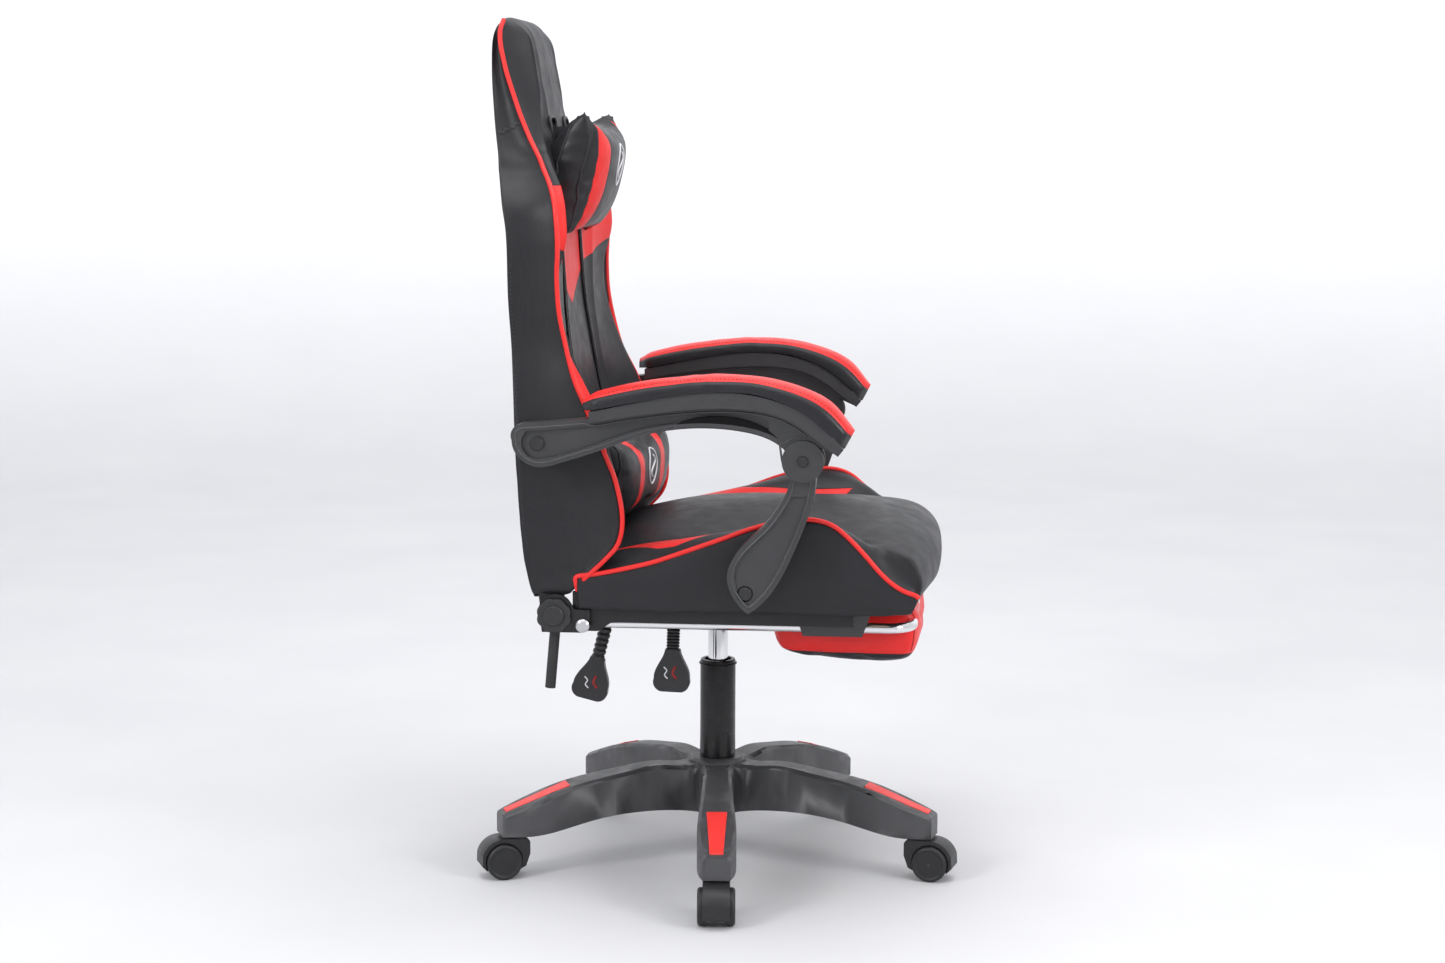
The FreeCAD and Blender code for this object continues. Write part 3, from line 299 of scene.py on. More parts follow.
def inflate(piece, voxel=5, pressure=4.0, frames=20, cap=12, bending=0.5, shrink=0.0):
    """Blow a padded cover up as cloth: remeshed, held by no gravity, no point moving past the cap."""
    remesh = piece.modifiers.new("remesh", "REMESH")
    remesh.mode = "VOXEL"
    remesh.voxel_size = voxel * MM
    apply_modifiers(piece)
    start = coordinates(piece.data)
    cloth = piece.modifiers.new("cloth", "CLOTH")
    settings = cloth.settings
    settings.quality = 6
    settings.mass = 0.25
    settings.tension_stiffness = 12
    settings.compression_stiffness = 12
    settings.shear_stiffness = 4
    settings.bending_stiffness = bending
    settings.shrink_min = shrink
    settings.use_pressure = True
    settings.uniform_pressure_force = pressure
    settings.effector_weights.gravity = 0
    cloth.point_cache.frame_start = 1
    cloth.point_cache.frame_end = frames
    for number in range(1, frames + 1):
        scene.frame_set(number)
    shaped = piece.evaluated_get(bpy.context.evaluated_depsgraph_get())
    end = coordinates(shaped.data)
    piece.modifiers.clear()
    scene.frame_set(1)
    move = end - start
    length = np.linalg.norm(move, axis=1, keepdims=True)
    move *= np.minimum(1, cap * MM / np.maximum(length, 1e-9))
    piece.data.vertices.foreach_set("co", (start + move).ravel())
    piece.data.update()
    smooth = piece.modifiers.new("smooth", "SMOOTH")
    smooth.factor = 0.5
    smooth.iterations = 2
    finer = piece.modifiers.new("finer", "SUBSURF")
    finer.levels = 1
    finer.render_levels = 1
    apply_modifiers(piece)
    set_smooth(piece.data)
    return piece


def paint_red(piece, distance):
    """Store how far each point lies inside the red panels; distance takes points in millimetres."""
    values = distance(coordinates(piece.data) / MM)
    attribute = piece.data.attributes.get("red") or piece.data.attributes.new("red", "FLOAT", "POINT")
    attribute.data.foreach_set("value", values.astype(np.float32))


# ---------------------------------------------------------------- materials
class Shader:
    """Small helper that builds one node material."""

    def __init__(self, name, roughness, metallic=0.0, specular=0.5, coat=0.0):
        self.material = bpy.data.materials.new(name)
        self.material.use_nodes = True
        self.tree = self.material.node_tree
        self.bsdf = self.tree.nodes["Principled BSDF"]
        self.bsdf.inputs["Roughness"].default_value = roughness
        self.bsdf.inputs["Metallic"].default_value = metallic
        self.bsdf.inputs["Specular IOR Level"].default_value = specular
        self.bsdf.inputs["Coat Weight"].default_value = coat
        self.bsdf.inputs["Coat Roughness"].default_value = 0.12
        self.coords = self.node("ShaderNodeTexCoord").outputs["Object"]

    def node(self, kind, **settings):
        node = self.tree.nodes.new(kind)
        for key, value in settings.items():
            setattr(node, key, value)
        return node

    def join(self, source, target):
        self.tree.links.new(source, target)

    def stretched(self, scale):
        mapping = self.node("ShaderNodeMapping")
        mapping.inputs["Scale"].default_value = scale
        self.join(self.coords, mapping.inputs["Vector"])
        return mapping.outputs["Vector"]

    def noise(self, scale, detail=3.0, distortion=0.0, vector=None):
        node = self.node("ShaderNodeTexNoise")
        node.inputs["Scale"].default_value = scale
        node.inputs["Detail"].default_value = detail
        node.inputs["Distortion"].default_value = distortion
        self.join(vector or self.coords, node.inputs["Vector"])
        return node.outputs["Fac"]

    def cells(self, scale, vector=None, feature="F1"):
        node = self.node("ShaderNodeTexVoronoi", feature=feature)
        node.inputs["Scale"].default_value = scale
        self.join(vector or self.coords, node.inputs["Vector"])
        return node.outputs["Distance"]

    def math(self, operation, first, second=0.0):
        node = self.node("ShaderNodeMath", operation=operation)
        for socket, value in zip(node.inputs, (first, second)):
            if isinstance(value, (int, float)):
                socket.default_value = value
            else:
                self.join(value, socket)
        return node.outputs[0]

    def range(self, value, low, high, to_low, to_high):
        node = self.node("ShaderNodeMapRange")
        for key, number in (("From Min", low), ("From Max", high), ("To Min", to_low), ("To Max", to_high)):
            node.inputs[key].default_value = number
        self.join(value, node.inputs["Value"])
        return node.outputs["Result"]

    def mix(self, factor, first, second):
        node = self.node("ShaderNodeMix", data_type="RGBA")
        sockets = [s for s in node.inputs if s.enabled]
        for socket, value in zip(sockets, (factor, first, second)):
            if isinstance(value, (tuple, list)):
                socket.default_value = (*value[:3], 1)
            elif isinstance(value, (int, float)):
                socket.default_value = value
            else:
                self.join(value, socket)
        return next(s for s in node.outputs if s.enabled)

    def shade(self, factor, colour, dark, light):
        """Between a darker and a lighter shade of one colour."""
        return self.mix(factor, [c * dark for c in colour], [min(1, c * light) for c in colour])

    def colour(self, value):
        self.join(value, self.bsdf.inputs["Base Color"])

    def uneven(self, value, low, high):
        """Roughness that wanders between two values with a noise."""
        self.join(self.range(value, 0.3, 0.7, low, high), self.bsdf.inputs["Roughness"])

    def bump(self, height, strength, distance):
        """Bump in millimetres; each call lies on top of the one before."""
        node = self.node("ShaderNodeBump")
        node.inputs["Strength"].default_value = strength
        node.inputs["Distance"].default_value = distance * MM
        self.join(height, node.inputs["Height"])
        target = self.bsdf.inputs["Normal"]
        if target.is_linked:
            self.join(target.links[0].from_socket, node.inputs["Normal"])
        self.join(node.outputs["Normal"], target)


BLACK = (0.016, 0.016, 0.0185)
RED = (0.74, 0.022, 0.02)


def leather(name, gloss=0.0):
    """Grained PU leather in black and red, with a fine groove where the two panels are sewn."""
    s = Shader(name, 0.45, specular=0.3)
    attribute = s.node("ShaderNodeAttribute", attribute_name="red")
    inside = attribute.outputs["Fac"]
    is_red = s.range(inside, -0.15, 0.15, 0.0, 1.0)
    patches = s.noise(14, 4)
    s.colour(s.mix(is_red, s.shade(patches, BLACK, 0.8, 1.3), s.shade(patches, RED, 0.92, 1.08)))
    s.uneven(s.noise(45, 5), 0.40 - gloss, 0.52 - gloss)
    seam = s.range(s.math("ABSOLUTE", inside), 0.0, 1.4, 0.0, 1.0)
    s.bump(seam, 0.8, 0.9)
    s.bump(s.noise(130, 4, 0.6), 0.45, 0.35)
    s.bump(s.cells(620), 0.30, 0.22)
    s.bump(s.noise(1900, 2), 0.18, 0.10)
    return s.material


def plain_leather(name, colour, roughness=0.42):
    s = Shader(name, roughness, specular=0.35)
    s.colour(s.shade(s.noise(20, 4), colour, 0.88, 1.12))
    s.uneven(s.noise(60, 4), roughness - 0.06, roughness + 0.08)
    s.bump(s.cells(640), 0.28, 0.2)
    s.bump(s.noise(1900, 2), 0.18, 0.10)
    return s.material


def moulded_plastic(name, colour, roughness, grain=0.35, scale=900, specular=0.5):
    """Injection-moulded plastic: eroded texture, faint flow marks and a rubbed sheen."""
    s = Shader(name, roughness, specular=specular)
    s.colour(s.shade(s.noise(9, 3, 0.8), colour, 0.82, 1.22))
    s.uneven(s.noise(55, 4), roughness - 0.05, roughness + 0.07)
    s.bump(s.cells(scale), grain, 0.18)
    s.bump(s.noise(scale * 2.3, 2), grain * 0.6, 0.08)
    return s.material


def painted_steel(name, colour, roughness, peel=0.12):
    """Powder coat with orange peel and dust in its gloss."""
    s = Shader(name, roughness, specular=0.35, coat=0.1)
    s.colour(s.shade(s.noise(30, 3), colour, 0.85, 1.2))
    s.uneven(s.noise(80, 4), max(0.05, roughness - 0.05), roughness + 0.06)
    s.bump(s.noise(420, 2), peel, 0.12)
    return s.material


def bare_metal(name, colour, roughness, brush=(1, 1, 1), strength=0.05):
    """Polished or turned metal with fine lines in one direction."""
    s = Shader(name, roughness, metallic=1.0)
    lines = s.noise(260, 3, vector=s.stretched(brush))
    s.colour(s.shade(lines, colour, 0.93, 1))
    s.uneven(lines, max(0.03, roughness - 0.03), roughness + 0.05)
    s.bump(lines, strength, 0.02)
    return s.material


def woven_band(name, colour):
    """Elastic webbing: warp ribs crossed by a finer weft."""
    s = Shader(name, 0.75)
    heights = []
    for axis, scale in (("X", 330), ("Z", 520), ("Y", 330)):
        wave = s.node("ShaderNodeTexWave", bands_direction=axis)
        wave.inputs["Scale"].default_value = scale
        s.join(s.coords, wave.inputs["Vector"])
        heights.append(wave.outputs["Fac"])
    crossed = s.math("MULTIPLY", heights[0], heights[1])
    weave = s.math("MAXIMUM", crossed, s.math("MULTIPLY", heights[2], 0.6))
    s.colour(s.shade(weave, colour, 0.6, 1.6))
    s.bump(weave, 0.5, 0.3)
    return s.material


def plywood(name):
    """Birch board: long grain across the seat, darker year lines."""
    s = Shader(name, 0.65)
    grain = s.noise(18, 6, 1.5, vector=s.stretched((1, 14, 30)))
    s.colour(s.mix(grain, (0.36, 0.24, 0.13), (0.62, 0.47, 0.31)))
    s.bump(grain, 0.3, 0.2)
    return s.material


def thread(name, colour):
    s = Shader(name, 0.6)
    s.colour(s.shade(s.noise(1500, 2), colour, 0.7, 1))
    s.bump(s.noise(2600, 2, vector=s.stretched((1, 3, 1))), 0.4, 0.1)
    return s.material


COVER = leather("leather_cover")
GLOSSY_COVER = leather("leather_glossy", 0.06)
PIPING = plain_leather("leather_piping", RED, 0.4)
# Near-black leather, darker than the cover: painted shade of the seam grooves, on the back ribs and along the
# shoulder seam.
GROOVE_SHADE_LEATHER = plain_leather("leather_rib_groove_shade", (0.006, 0.006, 0.007), 0.3)
BLACK_THREAD = thread("thread_black", (0.035, 0.035, 0.04))
# Grey thread: black stitches painted lighter, a painted highlight standing for their glints.
HIGHLIGHT_GREY_THREAD = thread("thread_grey_painted_highlight", (0.12, 0.12, 0.125))
RED_THREAD = thread("thread_dark_red", (0.28, 0.01, 0.01))
WHITE_THREAD = thread("thread_white", (0.75, 0.75, 0.78))
TRIM = moulded_plastic("trim_plastic", (0.02, 0.02, 0.022), 0.4, 0.2)
# Two copies of the black nylon: darker on the arms, painted shade for their flat faces; lighter on the base
# star, a painted highlight for its sloped legs.
ARM_PLASTIC_PAINTED_SHADE = moulded_plastic("arm_plastic_painted_shade", (0.023, 0.023, 0.0255), 0.42, 0.6, 780, 0.7)
BASE_PLASTIC_PAINTED_HIGHLIGHT = moulded_plastic("base_plastic_painted_highlight", (0.045, 0.045, 0.049), 0.45, 0.6, 780, 0.7)
# Bead plastic, lighter and glossier than the arm plastic: the lighter colour is a painted highlight on the
# raised beads and rims.
BEAD_HIGHLIGHT_PLASTIC = moulded_plastic("bead_plastic_painted_highlight", (0.05, 0.05, 0.053), 0.34, 0.25)
# Near-black, barely shiny plastic: painted shade inside the arm recesses.
RECESS_SHADE_PLASTIC = moulded_plastic("painted_shade_recess_plastic", (0.004, 0.004, 0.0045), 0.7, 0.3, specular=0.15)
MATT_COVER = moulded_plastic("recliner_cover_plastic", (0.016, 0.016, 0.017), 0.5, 0.3)

FINISHES = {
    "nylon_black": moulded_plastic("nylon_black", (0.031, 0.031, 0.034), 0.45, 0.6, 780, 0.7),
    "red_plastic": moulded_plastic("red_plastic", (0.84, 0.04, 0.035), 0.42, 0.25),
    "column_paint": painted_steel("column_paint", (0.004, 0.004, 0.0045), 0.3, 0.03),
    "sleeve_plastic": moulded_plastic("sleeve_plastic", (0.05, 0.05, 0.055), 0.5),
    "steel": bare_metal("steel", (0.6, 0.6, 0.62), 0.3, (1, 8, 8), 0.1),
    "chrome": bare_metal("chrome", (0.80, 0.80, 0.82), 0.1, (1, 1, 0.05)),
    "button_red": moulded_plastic("button_red", (0.5, 0.03, 0.03), 0.35, 0.1),
    "frame_paint": painted_steel("frame_paint", (0.011, 0.011, 0.012), 0.38, 0.2),
    "plywood": plywood("plywood"),
    "lever_steel": painted_steel("lever_steel", (0.013, 0.013, 0.014), 0.35),
    "handle_plastic": moulded_plastic("handle_plastic", (0.012, 0.012, 0.014), 0.36, 0.15),
    "grip_sleeve": moulded_plastic("grip_sleeve", (0.016, 0.016, 0.017), 0.6, 0.3),
    "elastic_black": woven_band("elastic_black", (0.02, 0.02, 0.022)),
    "bolt_black": painted_steel("bolt_black", (0.022, 0.022, 0.024), 0.42),
    "caster_hood": moulded_plastic("caster_hood", (0.012, 0.012, 0.013), 0.42, 0.2, 1200),
    "wheel_nylon": moulded_plastic("wheel_nylon", (0.011, 0.011, 0.012), 0.46, 0.25, 1100),
    "leather_black": plain_leather("leather_black_plain", BLACK),
    "leather_red": plain_leather("leather_red_plain", RED),
}


# CAD nodes that take a shaded or lit copy of the nylon instead of their slot's finish: painted light.
NODE_LIT_AND_SHADED_NYLON = {"base_star": BASE_PLASTIC_PAINTED_HIGHLIGHT, "arm_upper_left": ARM_PLASTIC_PAINTED_SHADE, "arm_upper_right": ARM_PLASTIC_PAINTED_SHADE,
                 "arm_lower_left": ARM_PLASTIC_PAINTED_SHADE, "arm_lower_right": ARM_PLASTIC_PAINTED_SHADE}


# ---------------------------------------------------------------- carried-over CAD nodes
EDGE_WIDTHS = {"base_star": 2.2, "base_inserts": 1.6, "arm_upper": 1.6, "arm_lower": 2.0, "arm_bolts": 1.0,
               "mechanism_plate": 0.8, "seat_frame": 0.8, "recliner": 0.9, "footrest_guides": 1.0,
               "lift_handle": 3.0, "recline_handle": 3.0, "caster_hood": 2.0, "wheel": 0.8, "gas": 0.5,
               "seat_bolts": 0.6, "back_bolts": 0.6}


BRIGHT_BOLT = ((145, 368), (169, 392))


def edge_width(node):
    for key, width in EDGE_WIDTHS.items():
        if node.startswith(key):
            return width
    if node.startswith("caster"):
        return 2.4 if node.endswith("hood") else 0.7
    return 0


def blacken_bolts(node, bright_box):
    """Black oxide on the bolt heads, except those with faces inside the (y, z) box."""
    node.data.materials.append(FINISHES["bolt_black"])
    (y_low, z_low), (y_high, z_high) = bright_box
    for face in node.data.polygons:
        y, z = face.center.y / MM, face.center.z / MM
        face.material_index = 0 if y_low < y < y_high and z_low < z < z_high else 1


def finish_cad_nodes():
    slots = {part["node"]: part["material_slot"] for part in frame["record"]["subparts"]}
    for name, node in frame["nodes"].items():
        node.data.materials.clear()
        node.data.materials.append(NODE_LIT_AND_SHADED_NYLON.get(name, FINISHES[slots[name]]))
        width = edge_width(name)
        if width:
            round_edges(node, width)
    blacken_bolts(frame["nodes"]["seat_bolts"], BRIGHT_BOLT)


# ---------------------------------------------------------------- back
PIPING_LINE = [(222, 417), (196, 418), (174, 423), (164, 436), (128, 470), (108, 495), (103, 530), (112, 576),
               (127, 613), (151, 668), (169, 709), (182, 759), (189, 798), (191, 839), (190, 868), (190, 890),
               (192, 914), (195, 935), (202, 955), (211, 971), (221, 987), (229, 999), (241, 1020),
               (257, 1056),
               (272, 1101), (280, 1134), (283, 1150), (284, 1166), (281, 1180)]
REAR_SIDE = [(224, 417), (233, 470), (237, 508), (242, 574), (247, 653), (252, 745), (256, 810), (257, 888),
             (263, 930), (270, 962), (281, 1000), (288, 1040), (293, 1095), (294, 1145), (290, 1168),
             (281, 1180)]
REAR_CENTRE = [(226, 417), (240, 440), (248, 508), (254, 574), (261, 660), (266, 745), (275, 888),
               (285, 962), (292, 1040), (297, 1100), (297, 1145), (291, 1168), (281, 1180)]
CENTRE_LINE = [(222, 417), (180, 424), (156, 440), (151, 470), (153, 510), (160, 560), (172, 620), (188, 700),
               (200, 780), (206, 850), (209, 900), (212, 960), (216, 1000), (223, 1036), (230, 1071),
               (236, 1099), (241, 1128), (247, 1152), (256, 1167), (268, 1176), (281, 1180)]
HALF_WIDTH = [(236, 417), (249, 430), (256, 460), (259, 500), (258, 560), (255, 620), (244, 700), (237, 760),
              (240, 850), (241, 895), (232, 937), (197, 974), (160, 1002), (142, 1055), (134, 1110),
              (128, 1150), (122, 1168), (114, 1180)]
SEAM_X = [(150, 417), (150, 520), (148, 640), (145, 720), (144, 800), (144, 880), (133, 940), (104, 985),
          (80, 1030), (66, 1080), (62, 1180)]
RIB_X = [(100, 417), (106, 560), (106, 680), (103, 713), (99, 747), (88, 800), (86, 850), (84, 940),
         (68, 1000),
         (48, 1060), (40, 1180)]
CREST_INSET = [(20, 417), (20, 950), (24, 1000), (40, 1055), (42, 1110), (36, 1150), (26, 1180)]
CREST_AHEAD = [(0, 417), (1, 447), (0, 475), (-2, 530), (-1, 575), (4, 615), (9, 660), (9, 690),
               (3, 750), (-1, 800), (-1, 838),
               (4, 862), (9, 885), (11, 905), (11, 958), (11, 990), (16, 1020), (22, 1047), (32, 1085),
               (36, 1124), (36, 1151), (24, 1168), (0, 1180)]
SEAM_BEHIND = [(0, 417), (3, 450), (3, 520), (-1, 600), (-4, 700), (-6, 800), (-9, 880), (-7, 940), (-3, 985),
               (0, 1030), (1, 1066), (1, 1150), (0, 1180)]
CROWN_DROP = 5
PIPING_FIRST_ROW = 13
RIB_RADIUS = 3.4
RIB_ROWS = slice(22, 146)
CHEVRON_ROWS = slice(118, 146)
SIDE_ROWS = slice(18, 190)
BAND_TOP = 957
COUNTS = {"rear": 30, "side": 18, "roll": 9, "slope": 16, "pad": 14, "middle": 14}


def back_heights():
    """Rows of the back: even in the middle, closing in on the rounded bottom and top."""
    low = 417 + 30 * (1 - np.cos(np.linspace(0, math.pi / 2, 15)))
    high = 1140 + 40 * np.sin(np.linspace(0, math.pi / 2, 22))
    return np.concatenate([low, np.arange(451, 1139, 3.9), high])


def back_grid():
    """Points, bulges and panel distances of the back, ring by ring from the bottom up."""
    z = back_heights()
    half = against_height(HALF_WIDTH, z)
    piping_y = against_height(PIPING_LINE, z)
    rear_y = against_height(REAR_SIDE, z)
    middle_y = against_height(REAR_CENTRE, z)
    centre_y = against_height(CENTRE_LINE, z)
    seam_x = against_height(SEAM_X, z)
    crest_y = piping_y - against_height(CREST_AHEAD, z)
    seam_y = centre_y + against_height(SEAM_BEHIND, z)
    crest_x = half - against_height(CREST_INSET, z)
    slim = smooth_step(417, 455, z) * (1 - smooth_step(1148, 1178, z))

    def line(x, y):
        return np.stack([np.broadcast_to(x, z.shape), y, z], axis=1)

    rear_middle = line(0.0, middle_y)
    corner = line(half - 3, rear_y)
    piping = line(half, piping_y)
    crest = line(crest_x, crest_y)
    seam = line(seam_x, seam_y)
    rib_x = against_height(RIB_X, z)
    rib = line(rib_x, centre_y + 1.5)
    middle = line(0.0, centre_y)

    rear = span(rear_middle, corner, COUNTS["rear"])
    t = np.linspace(0, 1, COUNTS["rear"] + 1)[:-1]
    rear[..., 1] = middle_y[:, None] + (rear_y - middle_y)[:, None] * t[None, :] ** 2.2
    parts = [(rear, puff(COUNTS["rear"], 2.5, half=False) * (t > 0.5)),
             (span(corner, piping, COUNTS["side"]), puff(COUNTS["side"], 7.5)),
             (span(piping, crest, COUNTS["roll"]), puff(COUNTS["roll"], 2.6, 0.9)),
             (span(crest, seam, COUNTS["slope"]), puff(COUNTS["slope"], 2.5, 0.9)),
             (span(seam, rib, COUNTS["pad"]), puff(COUNTS["pad"], 4.0)),
             (span(rib, middle, COUNTS["middle"], closed=True),
              puff(COUNTS["middle"], 4.0, half=True, closed=True))]
    grid = np.concatenate([columns for columns, _ in parts], axis=1)
    bulge = np.concatenate([np.tile(amount, (len(z), 1)) for _, amount in parts], axis=1)
    plain_head = 1 - smooth_step(985, 1050, z)
    bulge[:, column_starts()["pad"]:] *= plain_head[:, None]
    bulge = bulge * slim[:, None]
    ring = with_mirror(grid)
    swell = with_mirror(bulge)
    normals = grid_normals(np.concatenate([ring[:, -1:], ring, ring[:, :1]], axis=1))[:, 1:-1]
    ring = ring + normals * swell[..., None]
    ring[..., 2] -= CROWN_DROP * (np.abs(ring[..., 0]) / 114) ** 3.5 * smooth_step(1060, 1180, z)[:, None]
    return ring


def column_starts():
    """Index of each panel's first column in the half section."""
    starts = {}
    total = 0
    for key, count in COUNTS.items():
        starts[key] = total
        total += count
    return starts


def back_red(points):
    """Red of the back: shoulder bands, a chevron between the ribs, a sliver beside the piping."""
    x, y, z = np.abs(points[:, 0]), points[:, 1], points[:, 2]
    inset = np.clip(against_height(HALF_WIDTH, z) - 24 - x, 0, 60)
    on_front = against_height(PIPING_LINE, z) - y + 2.5 + inset
    rib_x = against_height(RIB_X, z)
    band = np.minimum.reduce([BAND_TOP - z, z - 838 - (x - 88) * 0.26, x - rib_x - 4.5, on_front])
    chevron = np.minimum.reduce([BAND_TOP - z, (z - 790 - x * 0.52) * 0.88, rib_x - 4.5 - x])
    width = 22 * np.clip(1 - ((z - 672) / 112) ** 2, 0, 1)
    sliver = np.minimum(width - (against_height(HALF_WIDTH, z) - x) - 0.5, on_front)
    in_front = y < against_height(REAR_SIDE, z) - 20
    return np.where(in_front, np.maximum.reduce([band, chevron, sliver]), -9.0)


HARNESS_HOLE = (40, 78, 1000, 1045)


def rounded_rectangle(left, right, low, high, radius, arc=6):
    """Outline of a rectangle with round corners."""
    points = []
    for cx, cz, start in ((right - radius, high - radius, 0), (left + radius, high - radius, 90),
                          (left + radius, low + radius, 180), (right - radius, low + radius, 270)):
        for k in range(arc + 1):
            angle = math.radians(start + 90 * k / arc)
            points.append((cx + radius * math.cos(angle), cz + radius * math.sin(angle)))
    return points


def cut_through(piece, outline, low, high, name):
    """Cut a hole with a given (x, z) outline through a piece, between two y distances."""
    cutter = slab(name, outline, low, high, piece.data.materials[0], axis=1, bevel=0)
    cut = piece.modifiers.new("hole", "BOOLEAN")
    cut.operation = "DIFFERENCE"
    cut.solver = "EXACT"
    cut.object = cutter
    apply_modifiers(piece)
    bpy.data.objects.remove(cutter)


def make_back():
    ring = back_grid()
    starts = column_starts()
    cover = grid_piece("back_upholstery", ring, COVER)
    wrinkle(cover, 1.1, 95, 3, (1, 1, 1.6))
    wrinkle(cover, 0.7, 34, 8, (1, 1, 0.7),
            lambda p: smooth_step(760, 480, p[:, 2]) + smooth_step(930, 1010, p[:, 2]) * 0.6)
    for side in (1, -1):
        left, right, low, high = HARNESS_HOLE
        edges = (left, right) if side > 0 else (-right, -left)
        cut_through(cover, rounded_rectangle(*edges, low, high, 9), 150, 340, "harness_cutter")
    paint_red(cover, back_red)
    set_smooth(cover.data)
    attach(cover, "back")
    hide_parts("back_cushion", "back_wings", "back_cover")

    normals = grid_normals(ring)
    count = ring.shape[1]
    for side, name in ((1, "left"), (-1, "right")):
        def column(index):
            return index if side > 0 else (count - index) % count

        at = column(starts["roll"])
        cord_line = ring[PIPING_FIRST_ROW:-1, at] - normals[PIPING_FIRST_ROW:-1, at] * 0.6
        lip = np.array([side * 1.2, -0.6, 0])
        piping = tube(f"back_piping_{name}", evenly(cord_line + lip, 260), 3.1, PIPING)
        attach(piping, "back")
        at = column(starts["middle"])
        rib_line = ring[RIB_ROWS, at] - normals[RIB_ROWS, at] * 1.2
        # The rib is a real raised roll; its near-black leather is painted shade of the groove it lies in.
        rib = tube(f"back_rib_{name}", evenly(rib_line, 160), RIB_RADIUS, GROOVE_SHADE_LEATHER)
        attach(rib, "back")
        # The grey rows beside each rib are painted highlights on black stitches.
        lines = [(starts["middle"] - 2, RIB_ROWS, HIGHLIGHT_GREY_THREAD), (starts["middle"] + 2, RIB_ROWS, HIGHLIGHT_GREY_THREAD),
                 (starts["middle"] - 4, CHEVRON_ROWS, RED_THREAD),
                 (starts["side"] + 1, SIDE_ROWS, BLACK_THREAD)]
        for number, (index, span_rows, material) in enumerate(lines):
            at = column(index)
            row = stitch_line(f"back_stitches_{name}_{number}", ring[span_rows, at],
                              normals[span_rows, at], material)
            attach(row, "back")
        make_shoulder_seam(name, ring, normals, column, starts)
        for where in ("front", "rear"):
            make_harness_trim(side, name, where)


def make_shoulder_seam(name, ring, normals, column, starts):
    """Short seam that joins the head panel to the shoulder on the side of the back. Its grey stitches are
    painted highlights on black thread, and a near-black cord along it is painted shade in its groove.
    """
    first, last = starts["side"] + 2, starts["roll"] - 1
    z = ring[:, starts["side"], 2]
    path = []
    outward = []
    for k, index in enumerate(range(first, last)):
        height = 1024 + 16 * k / (last - first)
        row = int(np.argmin(np.abs(z - height)))
        path.append(ring[row, column(index)])
        outward.append(normals[row, column(index)])
    path = np.array(path)
    outward = np.array(outward)
    seam = stitch_line(f"shoulder_seam_{name}", path + (0, 0, 3.5), outward, HIGHLIGHT_GREY_THREAD, 4.4, 3.4, 0.6)
    # Near-black cord along the seam: painted shade of its groove.
    cord_line = tube(f"shoulder_groove_shade_{name}", path, 1.0, GROOVE_SHADE_LEATHER, 8)
    for piece in (seam, cord_line):
        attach(piece, "back")


def make_harness_trim(side, name, where):
    """Moulded frame round a harness hole, on the front or the rear of the back."""
    left, right, low, high = HARNESS_HOLE
    outline = rounded_rectangle(left - 1, right + 1, low - 1, high + 1, 10, 8)
    line = CENTRE_LINE if where == "front" else REAR_CENTRE
    path = []
    for x, z in outline:
        y = against_height(line, np.array([z]))[0]
        bend = (x / 130) ** 2 * (5 if where == "front" else -4)
        lift = -1.6 if where == "front" else 0.6
        path.append((side * x, y + bend + lift, z))
    trim = tube(f"harness_trim_{name}_{where}", path, 2.4, TRIM, 10, closed=True)
    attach(trim, "back")


# ---------------------------------------------------------------- seat
# Stations from rear to front: centre (y, z), seam (x, y, z), piping (y, z), hem (y, z).
SEAT_STATIONS = [
    ((150, 478), (195, 150, 464), (163, 448), (161, 405)),
    ((112, 494), (195, 115, 475), (126, 454), (126, 404)),
    ((66, 505), (195, 70, 484), (66, 468), (70, 403)),
    ((20, 512), (195, 20, 490), (20, 484), (20, 402)),
    ((-30, 516), (195, -30, 491), (-30, 502), (-30, 402)),
    ((-80, 518), (195, -80, 489), (-80, 520), (-76, 402)),
    ((-130, 519), (195, -128, 488), (-130, 529), (-120, 402)),
    ((-180, 518), (197, -168, 489), (-165, 525), (-154, 402)),
    ((-226, 513), (208, -198, 491), (-190, 508), (-184, 402)),
    ((-262, 507), (224, -226, 491), (-212, 486), (-208, 402)),
    ((-287, 497), (238, -252, 486), (-234, 461), (-228, 402)),
    ((-304, 479), (245, -273, 476), (-252, 445), (-244, 402)),
    ((-310, 455), (248, -285, 455), (-268, 436), (-256, 403)),
    ((-306, 430), (247, -287, 438), (-280, 432), (-266, 404)),
    ((-292, 411), (244, -284, 424), (-285, 428), (-275, 406))]
PIPING_X = 255
HEM_X = 249
UNDERSIDE = 401.5
SEAT_COUNTS = {"under": 10, "skirt": 16, "bolster": 20, "top": 34}


def seat_lines(rows_per_station=9):
    """Control lines of the seat, each a row of points from rear to front."""
    count = (len(SEAT_STATIONS) - 1) * rows_per_station + 1
    flat = [(0.0, *centre, *seam, PIPING_X, *piping, HEM_X, *hem)
            for centre, seam, piping, hem in SEAT_STATIONS]
    fine = curve_through(flat)
    picked = np.linspace(0, len(fine) - 1, count)
    places = np.arange(len(fine))
    smooth = np.stack([np.interp(picked, places, values) for values in fine.T], axis=1)
    return [smooth[:, k:k + 3] for k in (0, 3, 6, 9)]


